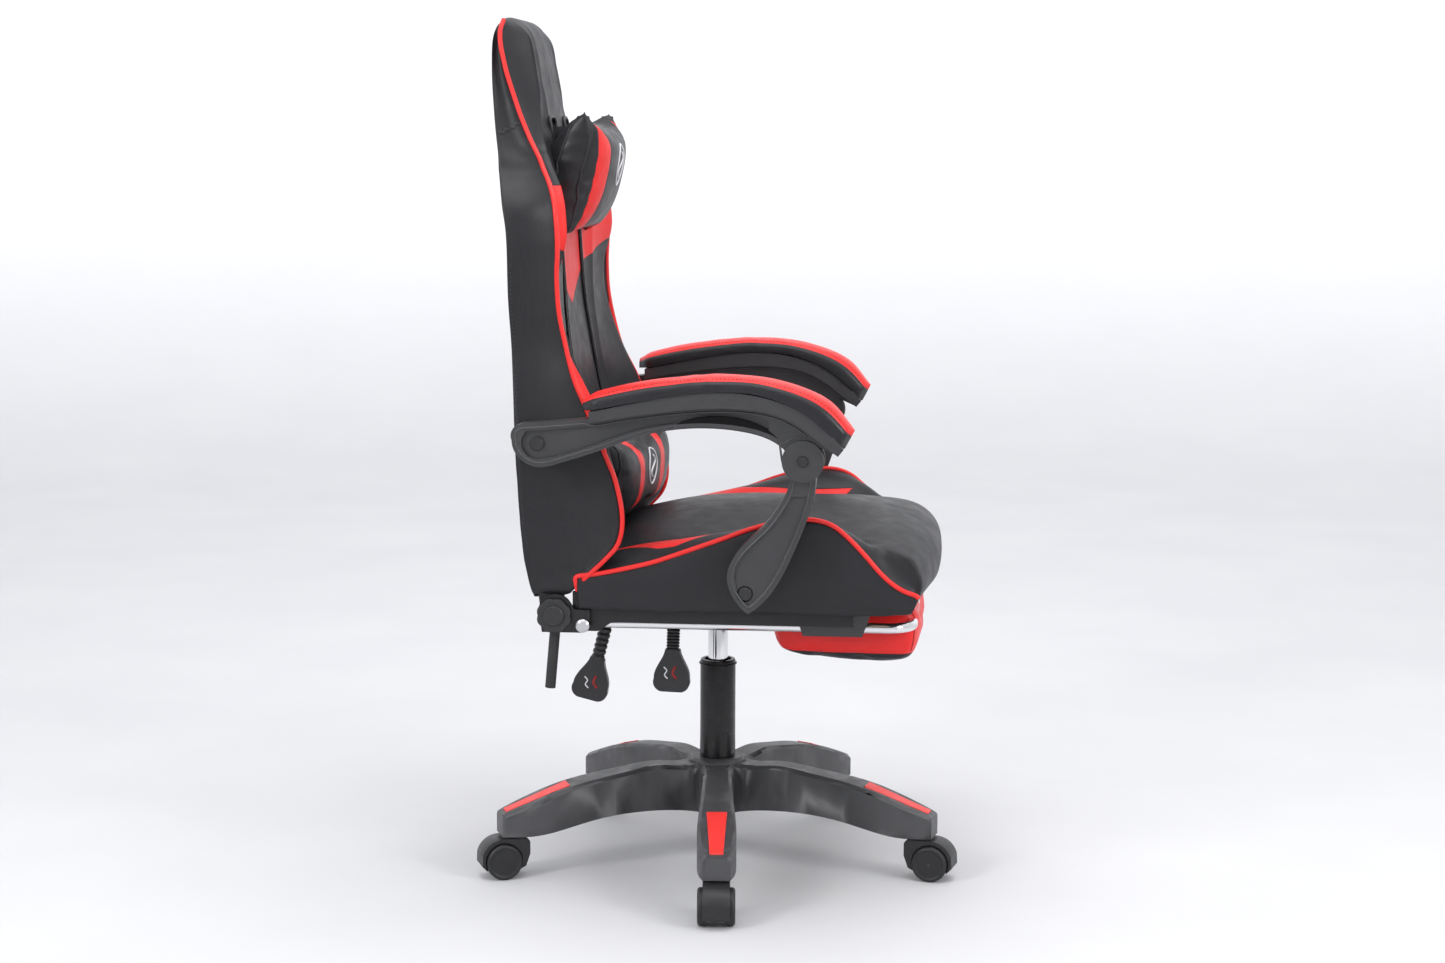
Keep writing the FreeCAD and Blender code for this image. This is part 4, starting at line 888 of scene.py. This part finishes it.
def seat_grid():
    centre, seam, piping, hem = seat_lines()
    flank = hem.copy()
    flank[:, 0] = 228
    flank[:, 2] = UNDERSIDE
    under_middle = flank.copy()
    under_middle[:, 0] = 0
    n = SEAT_COUNTS
    top = span(seam, centre, n["top"], closed=True)
    t = np.linspace(0, 1, n["top"] + 1)
    crown = 1 - (1 - t) ** 2.1
    for axis in (1, 2):
        top[..., axis] = seam[:, None, axis] + (centre - seam)[:, None, axis] * crown[None, :]
    row = np.arange(len(seam), dtype=float)[:, None]
    last = len(seam) - 1
    front = smooth_step(0.55, 0.75, row / last)
    bolster = puff(n["bolster"], 9.0, 0.9) * (1 - front) + puff(n["bolster"], -5.0, 0.9) * front
    ends = smooth_step(0, 6, row) * (1 - smooth_step(last - 11, last, row))
    parts = [(span(under_middle, flank, n["under"]), np.zeros((len(seam), n["under"]))),
             (span(flank, hem, 4), np.zeros((len(seam), 4))),
             (span(hem, piping, n["skirt"]), np.tile(puff(n["skirt"], 5.0), (len(seam), 1))),
             (span(piping, seam, n["bolster"]), bolster * ends),
             (top, puff(n["top"], 3.0, 0.6, half=True, closed=True) * ends)]
    grid = with_mirror(np.concatenate([columns for columns, _ in parts], axis=1))
    swell = with_mirror(np.concatenate([amount for _, amount in parts], axis=1))
    wrapped = np.concatenate([grid[:, -1:], grid, grid[:, :1]], axis=1)
    normals = grid_normals(wrapped)[:, 1:-1]
    outward = np.sign((normals[..., 2] * (grid[..., 2] - 450) + normals[..., 0] * grid[..., 0]).sum())
    return grid + normals * swell[..., None] * outward, normals * outward


def seat_red(across, y):
    """Red stripe on each bolster: across is the distance from the seam, y the place along the seat."""
    width = np.interp(y, [-170, -100, -30, 5, 35, 60, 90, 128], [22, 21, 26, 38, 46, 40, 20, 0])
    end = y + 160 + 21 * np.clip(across / 22, 0, 1)
    return np.minimum(width - across - 0.6, end)


def on_lower_skirt(p):
    return smooth_step(236, 246, np.abs(p[:, 0])) * smooth_step(440, 408, p[:, 2])


def on_front_corner(p):
    outer = smooth_step(200, 232, np.abs(p[:, 0]))
    return outer * smooth_step(-215, -255, p[:, 1]) * smooth_step(425, 440, p[:, 2])


def make_seat():
    grid, normals = seat_grid()
    seam = seat_lines()[1]
    n = SEAT_COUNTS
    first = n["under"] + 4 + n["skirt"]
    last = first + n["bolster"]
    half = last + n["top"] + 1
    red = np.full((len(seam), half), -30.0)
    across = np.linalg.norm(grid[:, first:last + 1] - grid[:, last:last + 1], axis=2)
    y = grid[:, first:last + 1, 1]
    red[:, first:last + 1] = seat_red(across, y)
    red[:, last + 1] = -1.2
    cover = grid_piece("seat_upholstery", grid, COVER, fill=True, attributes={"red": with_mirror(red)})
    wrinkle(cover, 1.6, 80, 21)
    wrinkle(cover, 0.9, 22, 25, (0.6, 1, 1), on_lower_skirt)
    wrinkle(cover, 1.0, 26, 31, (1, 1, 0.8), on_front_corner)
    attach(cover, "seat")
    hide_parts("seat_cushion", "seat_wings")

    count = grid.shape[1]
    for side, name in ((1, "left"), (-1, "right")):
        def column(index):
            return index if side > 0 else (count - index) % count

        at = column(first)
        cord_line = grid[:, at] + np.array([side * 1.0, 0, 0.4])
        rear = [cord_line[0] + np.array([-side * 4.5, 0.0, -20.0]), cord_line[0] + np.array([-side * 1.5, 1.5, -9.0])]
        path = curve_through(np.vstack([rear, cord_line[::6], cord_line[-1:]]), 220)
        welt_piece = tube(f"seat_piping_{name}", path, 3.1, PIPING)
        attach(welt_piece, "seat")
        at = column(last + 2)
        row = stitch_line(f"seat_stitches_{name}", grid[8:-14, at], normals[8:-14, at], BLACK_THREAD)
        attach(row, "seat")


# ---------------------------------------------------------------- pillows
def bag_grid(half_width, top, bottom, front, rear, ear, pinch, rear_edge=3.4, front_edge=3.4, skew=0.0,
             rows=44, columns=64):
    """Sewn bag of two panels: top and bottom are (y, z) of its long seams, front and rear its bulges.

    The upper corners stand out by ear, the lower ones by a third of it. The side seams pull in by pinch,
    and skew turns the bag a little towards one side."""
    u = np.sin(np.linspace(-1, 1, columns) * math.pi / 2)
    v = np.sin(np.linspace(-1, 1, rows) * math.pi / 2)
    uu, vv = np.meshgrid(u, v)
    x = half_width * uu * (1 - pinch * (1 - vv ** 2) * np.abs(uu) ** 3)
    lean = (vv + 1) / 2
    corner = np.abs(uu) ** 5
    y_mid = bottom[0] + (top[0] - bottom[0]) * lean - 8 * corner * lean + skew * x
    ears = ear * corner * (np.clip(vv, 0, 1) ** 3 - np.clip(-vv, 0, 1) ** 3 / 3)
    z = bottom[1] + (top[1] - bottom[1]) * lean + ears
    full = (1 - np.abs(uu) ** front_edge) ** 0.55 * (1 - np.abs(vv) ** 2.8) ** 0.55 * (1 + 0.1 * vv)
    rear_full = (1 - np.abs(uu) ** rear_edge) ** 0.5 * (1 - np.abs(vv) ** 2.4) ** 0.6
    front_face = np.stack([x, y_mid - front * full, z], axis=-1)
    rear_face = np.stack([x, y_mid + rear * rear_full, z], axis=-1)
    return np.concatenate([front_face, rear_face[:, ::-1]], axis=1)


def make_bag(name, node, red, fill, **shape):
    grid = bag_grid(**shape)
    piece = grid_piece(name, grid, GLOSSY_COVER)
    inflate(piece, voxel=4.5, pressure=3.0, cap=5, bending=0.35)
    wrinkle(piece, 1.3, 24, 41, (1, 1, 0.6),
            lambda p: smooth_step(0.55, 0.95, np.abs(p[:, 0]) / shape["half_width"]))
    paint_red(piece, red)
    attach(piece, "back")
    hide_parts(node)
    return piece


def surface_points(piece, targets, direction):
    """Points where rays along a direction meet a piece, with the surface normals there; millimetres."""
    direction = Vector(direction).normalized()
    found = []
    for target in targets:
        origin = Vector(target) * MM - direction * 0.2
        hit, place, normal, _ = piece.ray_cast(origin, direction)
        if hit:
            found.append((np.array(place) / MM, np.array(normal)))
    return found


def on_surface(piece, targets, direction, name, material, radius, lift=0.2, closed=False):
    """Thin cord laid on a piece along points projected on it."""
    found = surface_points(piece, targets, direction)
    path = np.array([place + normal * lift for place, normal in found])
    cord = tube(name, path, radius, material, 8, closed=closed)
    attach(cord, piece["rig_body"])
    return cord


def make_emblem(piece, name, centre, width, height):
    """Generic embroidered mark: a plain pointed oval with a bar across it."""
    cx, cz = centre
    oval = []
    for k in range(48):
        angle = 2 * math.pi * k / 48
        rise = math.sin(angle) * abs(math.sin(angle)) ** 0.25
        oval.append((cx + width / 2 * math.cos(angle), 0, cz + height / 2 * rise))
    ring = on_surface(piece, oval, (0, 1, 0), f"{name}_oval", WHITE_THREAD, 1.4, closed=True)
    bar = [(cx + width * 0.22 * math.sin(t * 3), 0, cz + height * 0.3 * t) for t in np.linspace(-1, 1, 16)]
    mark = on_surface(piece, bar, (0, 1, 0), f"{name}_bar", WHITE_THREAD, 1.6)


def make_pillows():
    def head_red(p):
        x = np.abs(p[:, 0])
        inner = 76 + 32 * smooth_step(1004, 1046, p[:, 2]) + 6 * smooth_step(950, 900, p[:, 2])
        return np.minimum.reduce([x - inner, 108 - x, 190 - p[:, 1] + 0.15 * (970 - p[:, 2])])

    head = make_bag("head_cushion", "head_pillow", head_red, 0.75,
                    half_width=127, top=(177, 1041), bottom=(203, 889), front=45, rear=42, ear=15, pinch=0.03,
                    rear_edge=12)
    make_emblem(head, "head_emblem", (-6, 982), 46, 56)

    def lumbar_red(p):
        x = np.abs(p[:, 0])
        bend = 12 * ((p[:, 2] - 555) / 60) ** 2
        band = np.minimum(x - (50 + bend), (77 + bend) - x)
        return np.minimum(band, 134 - 0.1 * p[:, 0] - p[:, 1])

    lumbar = make_bag("lumbar_cushion", "lumbar_pillow", lumbar_red, 0.85,
                      half_width=151, top=(134, 612), bottom=(134, 498), front=36, rear=20, ear=3, pinch=0.04,
                      front_edge=14, skew=-0.10)
    make_emblem(lumbar, "lumbar_emblem", (0, 563), 48, 50)
    for piece, name, end in ((lumbar, "lumbar", 140), (head, "head", 118)):
        box = coordinates(piece.data) / MM
        for side in (1, -1):
            make_end_seam(piece, f"{name}_end_seam_{'left' if side > 0 else 'right'}", side * end, box)


def make_end_seam(piece, name, x, points):
    """Cord round the end of a pillow, read from its own section there."""
    near = points[np.abs(points[:, 0] - x) < 5]
    middle = near.mean(axis=0)
    path = []
    for k in range(40):
        angle = 2 * math.pi * k / 40
        ray = Vector((0, math.cos(angle), math.sin(angle)))
        origin = Vector((x, middle[1], middle[2])) * MM + ray * 0.2
        hit, place, *_ = piece.ray_cast(origin, -ray)
        if hit:
            path.append(np.array(place) / MM)
    seam = tube(name, path, 2.0, FINISHES["leather_black"], 8, closed=True)
    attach(seam, "back")


def make_straps():
    """Elastic band of the head pillow: through both harness holes and flat across the rear."""
    low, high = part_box("pillow_straps")
    centre_z = (low.z + high.z) / 2 / MM
    half = 59
    front, rear = 203, 296
    one_side = [(half - 3, front, 0), (half, front + 25, 0), (half, rear - 16, 0), (half - 8, rear - 2, 0),
                (20, rear + 0.5, 0)]
    other_side = [(-x, y, z) for x, y, z in one_side]
    path = curve_through(other_side + one_side[::-1], 120)
    tangents = np.gradient(path, axis=0)
    side = np.cross(tangents, (0, 0, 1))
    side /= np.linalg.norm(side, axis=1, keepdims=True)
    width = 24
    ring = []
    for across, high_at in ((-0.9, -1), (-0.9, 1), (0.9, 1), (0.9, -1)):
        ring.append(path + side * across + np.array([0, 0, centre_z + high_at * width / 2]))
    strap = grid_piece("pillow_strap_band", np.stack(ring, axis=1), FINISHES["elastic_black"], fill=True)
    set_smooth(strap.data, False)
    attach(strap, "back")
    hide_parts("pillow_straps")


# ---------------------------------------------------------------- arm pads
PAD_TOP = [(147, 690), (137, 694), (122, 699.5), (70, 711), (7, 719), (-34, 721), (-82, 718), (-133, 706),
           (-171, 687), (-201, 652)]
PAD_BASE = [(147, 674), (137, 675.5), (122, 678), (70, 688), (7, 698.5), (-34, 701), (-82, 697.5),
            (-133, 678), (-163, 655), (-189, 629)]
PAD_PROFILE = [(1, 0.0), (1.02, 0.25), (1.0, 0.5), (0.93, 0.64), (0.9, 0.68), (0.72, 0.85), (0.45, 0.96)]
PAD_SEAM_AT = 0.70
PAD_RED_SCALE = 26


def pad_grid(inner, outer):
    """Rings of an arm pad from its round rear end to its square front end."""
    rows = 110
    top = curve_through(PAD_TOP, rows)
    base = curve_through(PAD_BASE, rows)
    middle = (inner + outer) / 2
    half = (outer - inner) / 2
    run = np.linspace(0, 1, rows)
    round_rear = np.sqrt(np.clip(1 - np.clip(1 - run / 0.06, 0, 1) ** 2, 0.2, 1))
    round_front = 1 - 0.16 * smooth_step(0.86, 1.0, run) - 0.5 * smooth_step(0.975, 1.0, run)
    widths = half * round_rear * round_front
    depth = (top - base)
    ring = []
    mirrored = [(-across, up) for across, up in PAD_PROFILE]
    fine = curve_through(mirrored + [(0, 1.0)] + PAD_PROFILE[::-1], 56)
    low_end = 1 - 0.15 * smooth_step(0.04, 0.0, run)
    for across, up in fine:
        height = base + depth * (up * low_end)[:, None]
        ring.append(np.stack([middle + widths * across, height[:, 0], height[:, 1]], axis=1))
    for across in np.linspace(0.85, -0.85, 8):
        ring.append(np.stack([middle + widths * across, base[:, 0], base[:, 1]], axis=1))
    grid = np.stack(ring, axis=1)
    red_at = np.array([(up - PAD_SEAM_AT) * PAD_RED_SCALE for _, up in fine] + [-20.0] * 8)
    return grid, np.broadcast_to(red_at, (rows, len(red_at))).copy()


def make_arm_pads():
    for name in ("left", "right"):
        low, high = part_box(f"arm_pad_{name}")
        grid, red = pad_grid(low.x / MM, high.x / MM)
        pad = grid_piece(f"arm_cushion_{name}", grid, GLOSSY_COVER, fill=True, attributes={"red": red})
        wrinkle(pad, 0.9, 14, 51, (1, 1.2, 0.5),
                lambda p: smooth_step(-60, -10, p[:, 1]) * smooth_step(60, 0, p[:, 1]))
        wrinkle(pad, 0.6, 40, 55)
        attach(pad, f"arm_upper_{name}")
        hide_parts(f"arm_pad_{name}")
        normals = grid_normals(grid)
        for number, index in enumerate((15, 40)):
            line = grid[8:-6, index]
            centre = grid[8:-6].mean(axis=1)
            outward = normals[8:-6, index]
            sign = np.sign(((line - centre) * outward).sum())
            row = stitch_line(f"arm_stitches_{name}_{number}", line, outward * sign, BLACK_THREAD,
                              pitch=5.0, length=3.4, radius=0.5)
            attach(row, f"arm_upper_{name}")


# ---------------------------------------------------------------- arm beads
def flat_outline(node, side, plane):
    """Outline, as (y, z) in order, of a moulded part's flat side at one distance from the middle."""
    work = bmesh.new()
    work.from_mesh(node.data)
    bmesh.ops.remove_doubles(work, verts=work.verts, dist=1e-5)
    flat = {face for face in work.faces
            if side * face.normal.x > 0.98 and abs(side * face.calc_center_median().x / MM - plane) < 0.5}
    nearby = {}
    for face in flat:
        for edge in face.edges:
            if sum(other in flat for other in edge.link_faces) == 1:
                one, other = edge.verts
                nearby.setdefault(one, []).append(other)
                nearby.setdefault(other, []).append(one)
    longest = []
    left = set(nearby)
    while left:
        here = left.pop()
        loop = [here]
        while True:
            ahead = [vert for vert in nearby[here] if vert in left]
            if not ahead:
                break
            here = ahead[0]
            left.remove(here)
            loop.append(here)
        if len(loop) > len(longest):
            longest = loop
    outline = np.array([(vert.co.y, vert.co.z) for vert in longest]) / MM
    work.free()
    return outline


def moved_inwards(outline, distance, pitch=2.0):
    """A closed outline moved inwards, without the points that come too near another stretch of it."""
    closed = np.vstack([outline, outline[:1]])
    length = np.linalg.norm(np.diff(closed, axis=0), axis=1).sum()
    loop = evenly(closed, int(length / pitch))[:-1]
    ahead = np.roll(loop, -1, 0)
    tangent = ahead - np.roll(loop, 1, 0)
    tangent /= np.linalg.norm(tangent, axis=1, keepdims=True)
    turn = np.sign((loop[:, 0] * ahead[:, 1] - ahead[:, 0] * loop[:, 1]).sum())
    moved = loop + np.stack([-tangent[:, 1], tangent[:, 0]], axis=1) * distance * turn
    gap = np.linalg.norm(moved[:, None] - loop[None], axis=2).min(axis=1)
    kept = moved[gap > distance - 0.25]
    kept = kept[np.linalg.norm(kept - np.roll(kept, 1, 0), axis=1) < 5 * pitch]
    for _ in range(4):
        kept = (np.roll(kept, 1, 0) + 2 * kept + np.roll(kept, -1, 0)) / 4
    return kept


ARM_FACE = 312
RECESS_ENDS = (30, -112)
RECESS_DEPTH = 13


def make_arm_recess(side, name):
    """Slab on the outer face along the underside of the upper arm, its near-black colour painted shade of the
    recess there, with a thin rim below it.
    """
    below = [(side * (ARM_FACE - 4), y, 480) for y in np.linspace(*RECESS_ENDS, 50)]
    underside = surface_points(frame["nodes"][f"arm_upper_{name}"], below, (0, 0, 1))
    rim_line = np.array([place[1:] for place, _ in underside]) + (0, 3.5)
    depth = RECESS_DEPTH * np.sin(np.linspace(0.02, math.pi - 0.02, len(rim_line))) ** 0.6
    outline = np.vstack([rim_line, (rim_line + np.outer(depth, (0, 1)))[::-1]])
    ends = sorted((side * (ARM_FACE - 6), side * (ARM_FACE + 0.5)))
    shade_slab = slab(f"arm_recess_painted_shade_{name}", outline, *ends, RECESS_SHADE_PLASTIC, axis=0, bevel=0)
    set_smooth(shade_slab.data, False)
    rim_path = np.column_stack([np.full(len(rim_line), side * (ARM_FACE + 0.2)), rim_line])
    # Rim in the lighter bead plastic: painted highlight.
    rim = tube(f"arm_rim_{name}", rim_path, 1.4, BEAD_HIGHLIGHT_PLASTIC, 8)
    for piece in (shade_slab, rim):
        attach(piece, f"arm_upper_{name}")


def make_arm_beads():
    """Raised bead moulded along the edges of both halves of each arm, on the outer side."""
    for side, name in ((1, "left"), (-1, "right")):
        make_arm_recess(side, name)
        for part, inset in (("arm_upper", 5.5), ("arm_lower", 6.5)):
            node = frame["nodes"][f"{part}_{name}"]
            plane = ARM_FACE if part == "arm_upper" else (side * coordinates(node.data)[:, 0]).max() / MM
            loop = moved_inwards(flat_outline(node, side, plane), inset)
            path = np.column_stack([np.full(len(loop), side * (plane - 0.3)), loop])
            # Lighter bead plastic: painted highlight along the ridge.
            bead = tube(f"{part}_bead_{name}", path, 1.5, BEAD_HIGHLIGHT_PLASTIC, 8, closed=True)
            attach(bead, f"{part}_{name}")


# ---------------------------------------------------------------- footrest pad
FOOT_SIDE = [(-96, 391), (-86, 384), (-84, 366), (-86, 350), (-92, 337), (-104, 330), (-160, 324.5),
             (-215, 321.5),
             (-262, 322), (-276, 326), (-282, 338), (-285, 360), (-287, 380), (-282, 390), (-270, 393),
             (-180, 393)]


def make_footrest():
    """Footrest cushion, stowed upside down: red sides, dark underside that faces up in use."""
    low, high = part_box("footrest_pad")
    half = (high.x - low.x) / 2 / MM
    closed = curve_through(FOOT_SIDE + FOOT_SIDE[:1], 96)[:-1]
    middle = closed.mean(axis=0)
    rings = []
    for x in half * np.sin(np.linspace(-math.pi / 2, math.pi / 2, 60)):
        edge = abs(x) / half
        shrink = 1 - 0.10 * edge ** 14 - 0.04 * edge ** 40
        loop = middle + (closed - middle) * shrink
        rings.append(np.stack([np.full(len(loop), x), loop[:, 0], loop[:, 1]], axis=1))
    pad = grid_piece("footrest_cushion", np.array(rings), GLOSSY_COVER, fill=True)
    inflate(pad, voxel=5, pressure=2.2, cap=5, bending=0.8)
    wrinkle(pad, 1.0, 55, 61)

    def red(p):
        edge = 331.5 + 3 * smooth_step(-140, -84, p[:, 1])
        return p[:, 2] - edge

    paint_red(pad, red)
    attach(pad, "footrest_pad")
    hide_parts("footrest_pad")
    for side in (1, -1):
        x = side * (half - 9)
        corner = [(x, -300, z) for z in np.linspace(335, 386, 14)]
        seam = on_surface(pad, corner, (0, 1, 0), f"footrest_seam_{'left' if side > 0 else 'right'}",
                          RED_THREAD, 0.7, 0.1)


# ---------------------------------------------------------------- recliner covers and levers
HINGE = (195, 394)
ROSETTE_RADIUS = 21.5
ROSETTE_LOBE = 2.0
ROSETTE_FACES = (245.2, 250.5)


def make_recliner_covers():
    """Scalloped plastic rosette over each recliner hinge."""
    for side, name in ((1, "left"), (-1, "right")):
        outline = []
        for k in range(120):
            angle = 2 * math.pi * k / 120
            radius = ROSETTE_RADIUS + ROSETTE_LOBE * abs(math.sin(angle * 4))
            outline.append((HINGE[0] + radius * math.cos(angle), HINGE[1] + radius * math.sin(angle)))
        inner, outer = sorted(side * face for face in ROSETTE_FACES)
        rosette = slab(f"recliner_rosette_{name}", outline, inner, outer, MATT_COVER, axis=0, bevel=1.2)
        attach(rosette, "seat")


PADDLE_MARKS = [("curve", [(10, 8), (6, 3), (9, -3), (5, -8)], 20, 0.9, WHITE_THREAD, "chrome"),
                ("bar", [(-6, 9), (-2, 0), (-7, -8)], 16, 1.8, RED_THREAD, "red_plastic")]


def make_lever_marks():
    """Raised generic marks on the paddles: a white curve and a red bar on each, no lettering."""
    for node, body in (("recline_handle", "recline_lever"), ("lift_handle", "lift_lever")):
        low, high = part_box(node)
        centre = ((low.y + high.y) / 2 / MM, low.z / MM + 27)
        face = low.x / MM
        piece = frame["nodes"][node]
        for label, stroke, count, radius, material, slot in PADDLE_MARKS:
            points = [(face - 5, centre[0] + u, centre[1] + v) for u, v in curve_through(stroke, count)]
            found = surface_points(piece, points, (1, 0, 0))
            if len(found) < 3:
                continue
            path = np.array([place + normal * 0.1 for place, normal in found])
            mark = tube(f"{node}_{label}", path, radius, material, 8)
            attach(mark, body)


COLLAR_RADIUS = 25.6
COLLAR_DROP = 6


def make_column_collar():
    """Rolled ring at the top of the outer tube."""
    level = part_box("gas_outer_tube")[1].z / MM - COLLAR_DROP
    turn = np.linspace(0, 2 * math.pi, 64, endpoint=False)
    ring = np.column_stack([COLLAR_RADIUS * np.cos(turn), COLLAR_RADIUS * np.sin(turn), np.full(64, level)])
    collar = tube("column_collar", ring, 1.3, FINISHES["column_paint"], 10, closed=True)
    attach(collar, "base")


# ---------------------------------------------------------------- stage
def make_stage():
    """Pale floor that turns up into a backdrop on all sides."""
    sweep = [(4.0 + 3.5 * math.sin(a), 3.5 - 3.5 * math.cos(a)) for a in np.linspace(0, math.pi / 2, 32)]
    profile = [(0.01, 0.0), (1.5, 0.0), (3.0, 0.0)] + sweep + [(7.5, 5.5)]
    turn = np.linspace(0, 2 * math.pi, 97)
    rows = [np.array([(r * math.cos(a), r * math.sin(a), z) for r, z in profile]) for a in turn]
    s = Shader("stage_paper", 0.85, specular=0.2)
    height = s.node("ShaderNodeSeparateXYZ")
    s.join(s.coords, height.inputs["Vector"])
    rise = s.range(height.outputs["Z"], 0.0, 0.9, 0.0, 1.0)
    floor_colour = s.mix(s.noise(3, 5), (0.58, 0.58, 0.595), (0.64, 0.64, 0.65))
    s.colour(s.mix(rise, floor_colour, (0.90, 0.90, 0.91)))
    s.bump(s.noise(260, 5), 0.15, 0.4)
    floor = grid_piece("stage_floor", np.array(rows) / MM, s.material, wrap=False)


def area_light(name, place, target, size, power):
    data = bpy.data.lights.new(name, "AREA")
    data.shape = "RECTANGLE"
    data.size, data.size_y = size
    data.energy = power
    lamp = bpy.data.objects.new(name, data)
    lamp.location = place
    lamp.rotation_euler = (Vector(target) - Vector(place)).to_track_quat("-Z", "Y").to_euler()
    scene.collection.objects.link(lamp)


# Name, place, target, size and power of each lamp.
LAMPS = [("overhead", (-0.3, -0.2, 3.2), (0, 0, 0.5), (3.0, 3.0), 62),
         ("camera_left", (-2.4, 2.2, 2.1), (0, 0, 0.7), (0.8, 1.2), 46),
         ("camera_right", (-1.8, -2.8, 1.9), (0, 0, 0.7), (0.8, 1.2), 40),
         ("backdrop", (3.2, 0, 5.0), (7.2, 0, 1.4), (8.0, 2.0), 100)]


def make_lights():
    world = bpy.data.worlds.new("studio")
    scene.world = world
    world.use_nodes = True
    background = world.node_tree.nodes["Background"]
    background.inputs["Color"].default_value = (0.93, 0.94, 0.97, 1)
    background.inputs["Strength"].default_value = 0.95
    for lamp in LAMPS:
        area_light(*lamp)


CAMERA_PLACE = (-3.5515, -0.3261, 1.0328)
CAMERA_YAW_PITCH_ROLL = (5.163, 7.834, 0.258)
CAMERA_LENS = 64.04


def make_camera():
    """Camera at the sitter's right, a metre above the floor and looking a little down."""
    yaw, pitch, roll = (math.radians(a) for a in CAMERA_YAW_PITCH_ROLL)
    forward = Vector((math.cos(yaw) * math.cos(pitch), math.sin(yaw) * math.cos(pitch), -math.sin(pitch)))
    right = forward.cross(Vector((0, 0, 1))).normalized()
    up = right.cross(forward)
    level_right = right * math.cos(roll) + up * math.sin(roll)
    level_up = up * math.cos(roll) - right * math.sin(roll)
    data = bpy.data.cameras.new("camera")
    data.lens = CAMERA_LENS
    data.sensor_width = 36
    camera = bpy.data.objects.new("camera", data)
    turn = Matrix([level_right, level_up, -forward]).transposed().to_4x4()
    camera.matrix_world = Matrix.Translation(CAMERA_PLACE) @ turn
    scene.collection.objects.link(camera)
    scene.camera = camera


finish_cad_nodes()
make_camera()
make_lights()
make_stage()
make_back()
make_seat()
make_pillows()
make_straps()
make_arm_pads()
make_arm_beads()
make_footrest()
make_recliner_covers()
make_lever_marks()
make_column_collar()
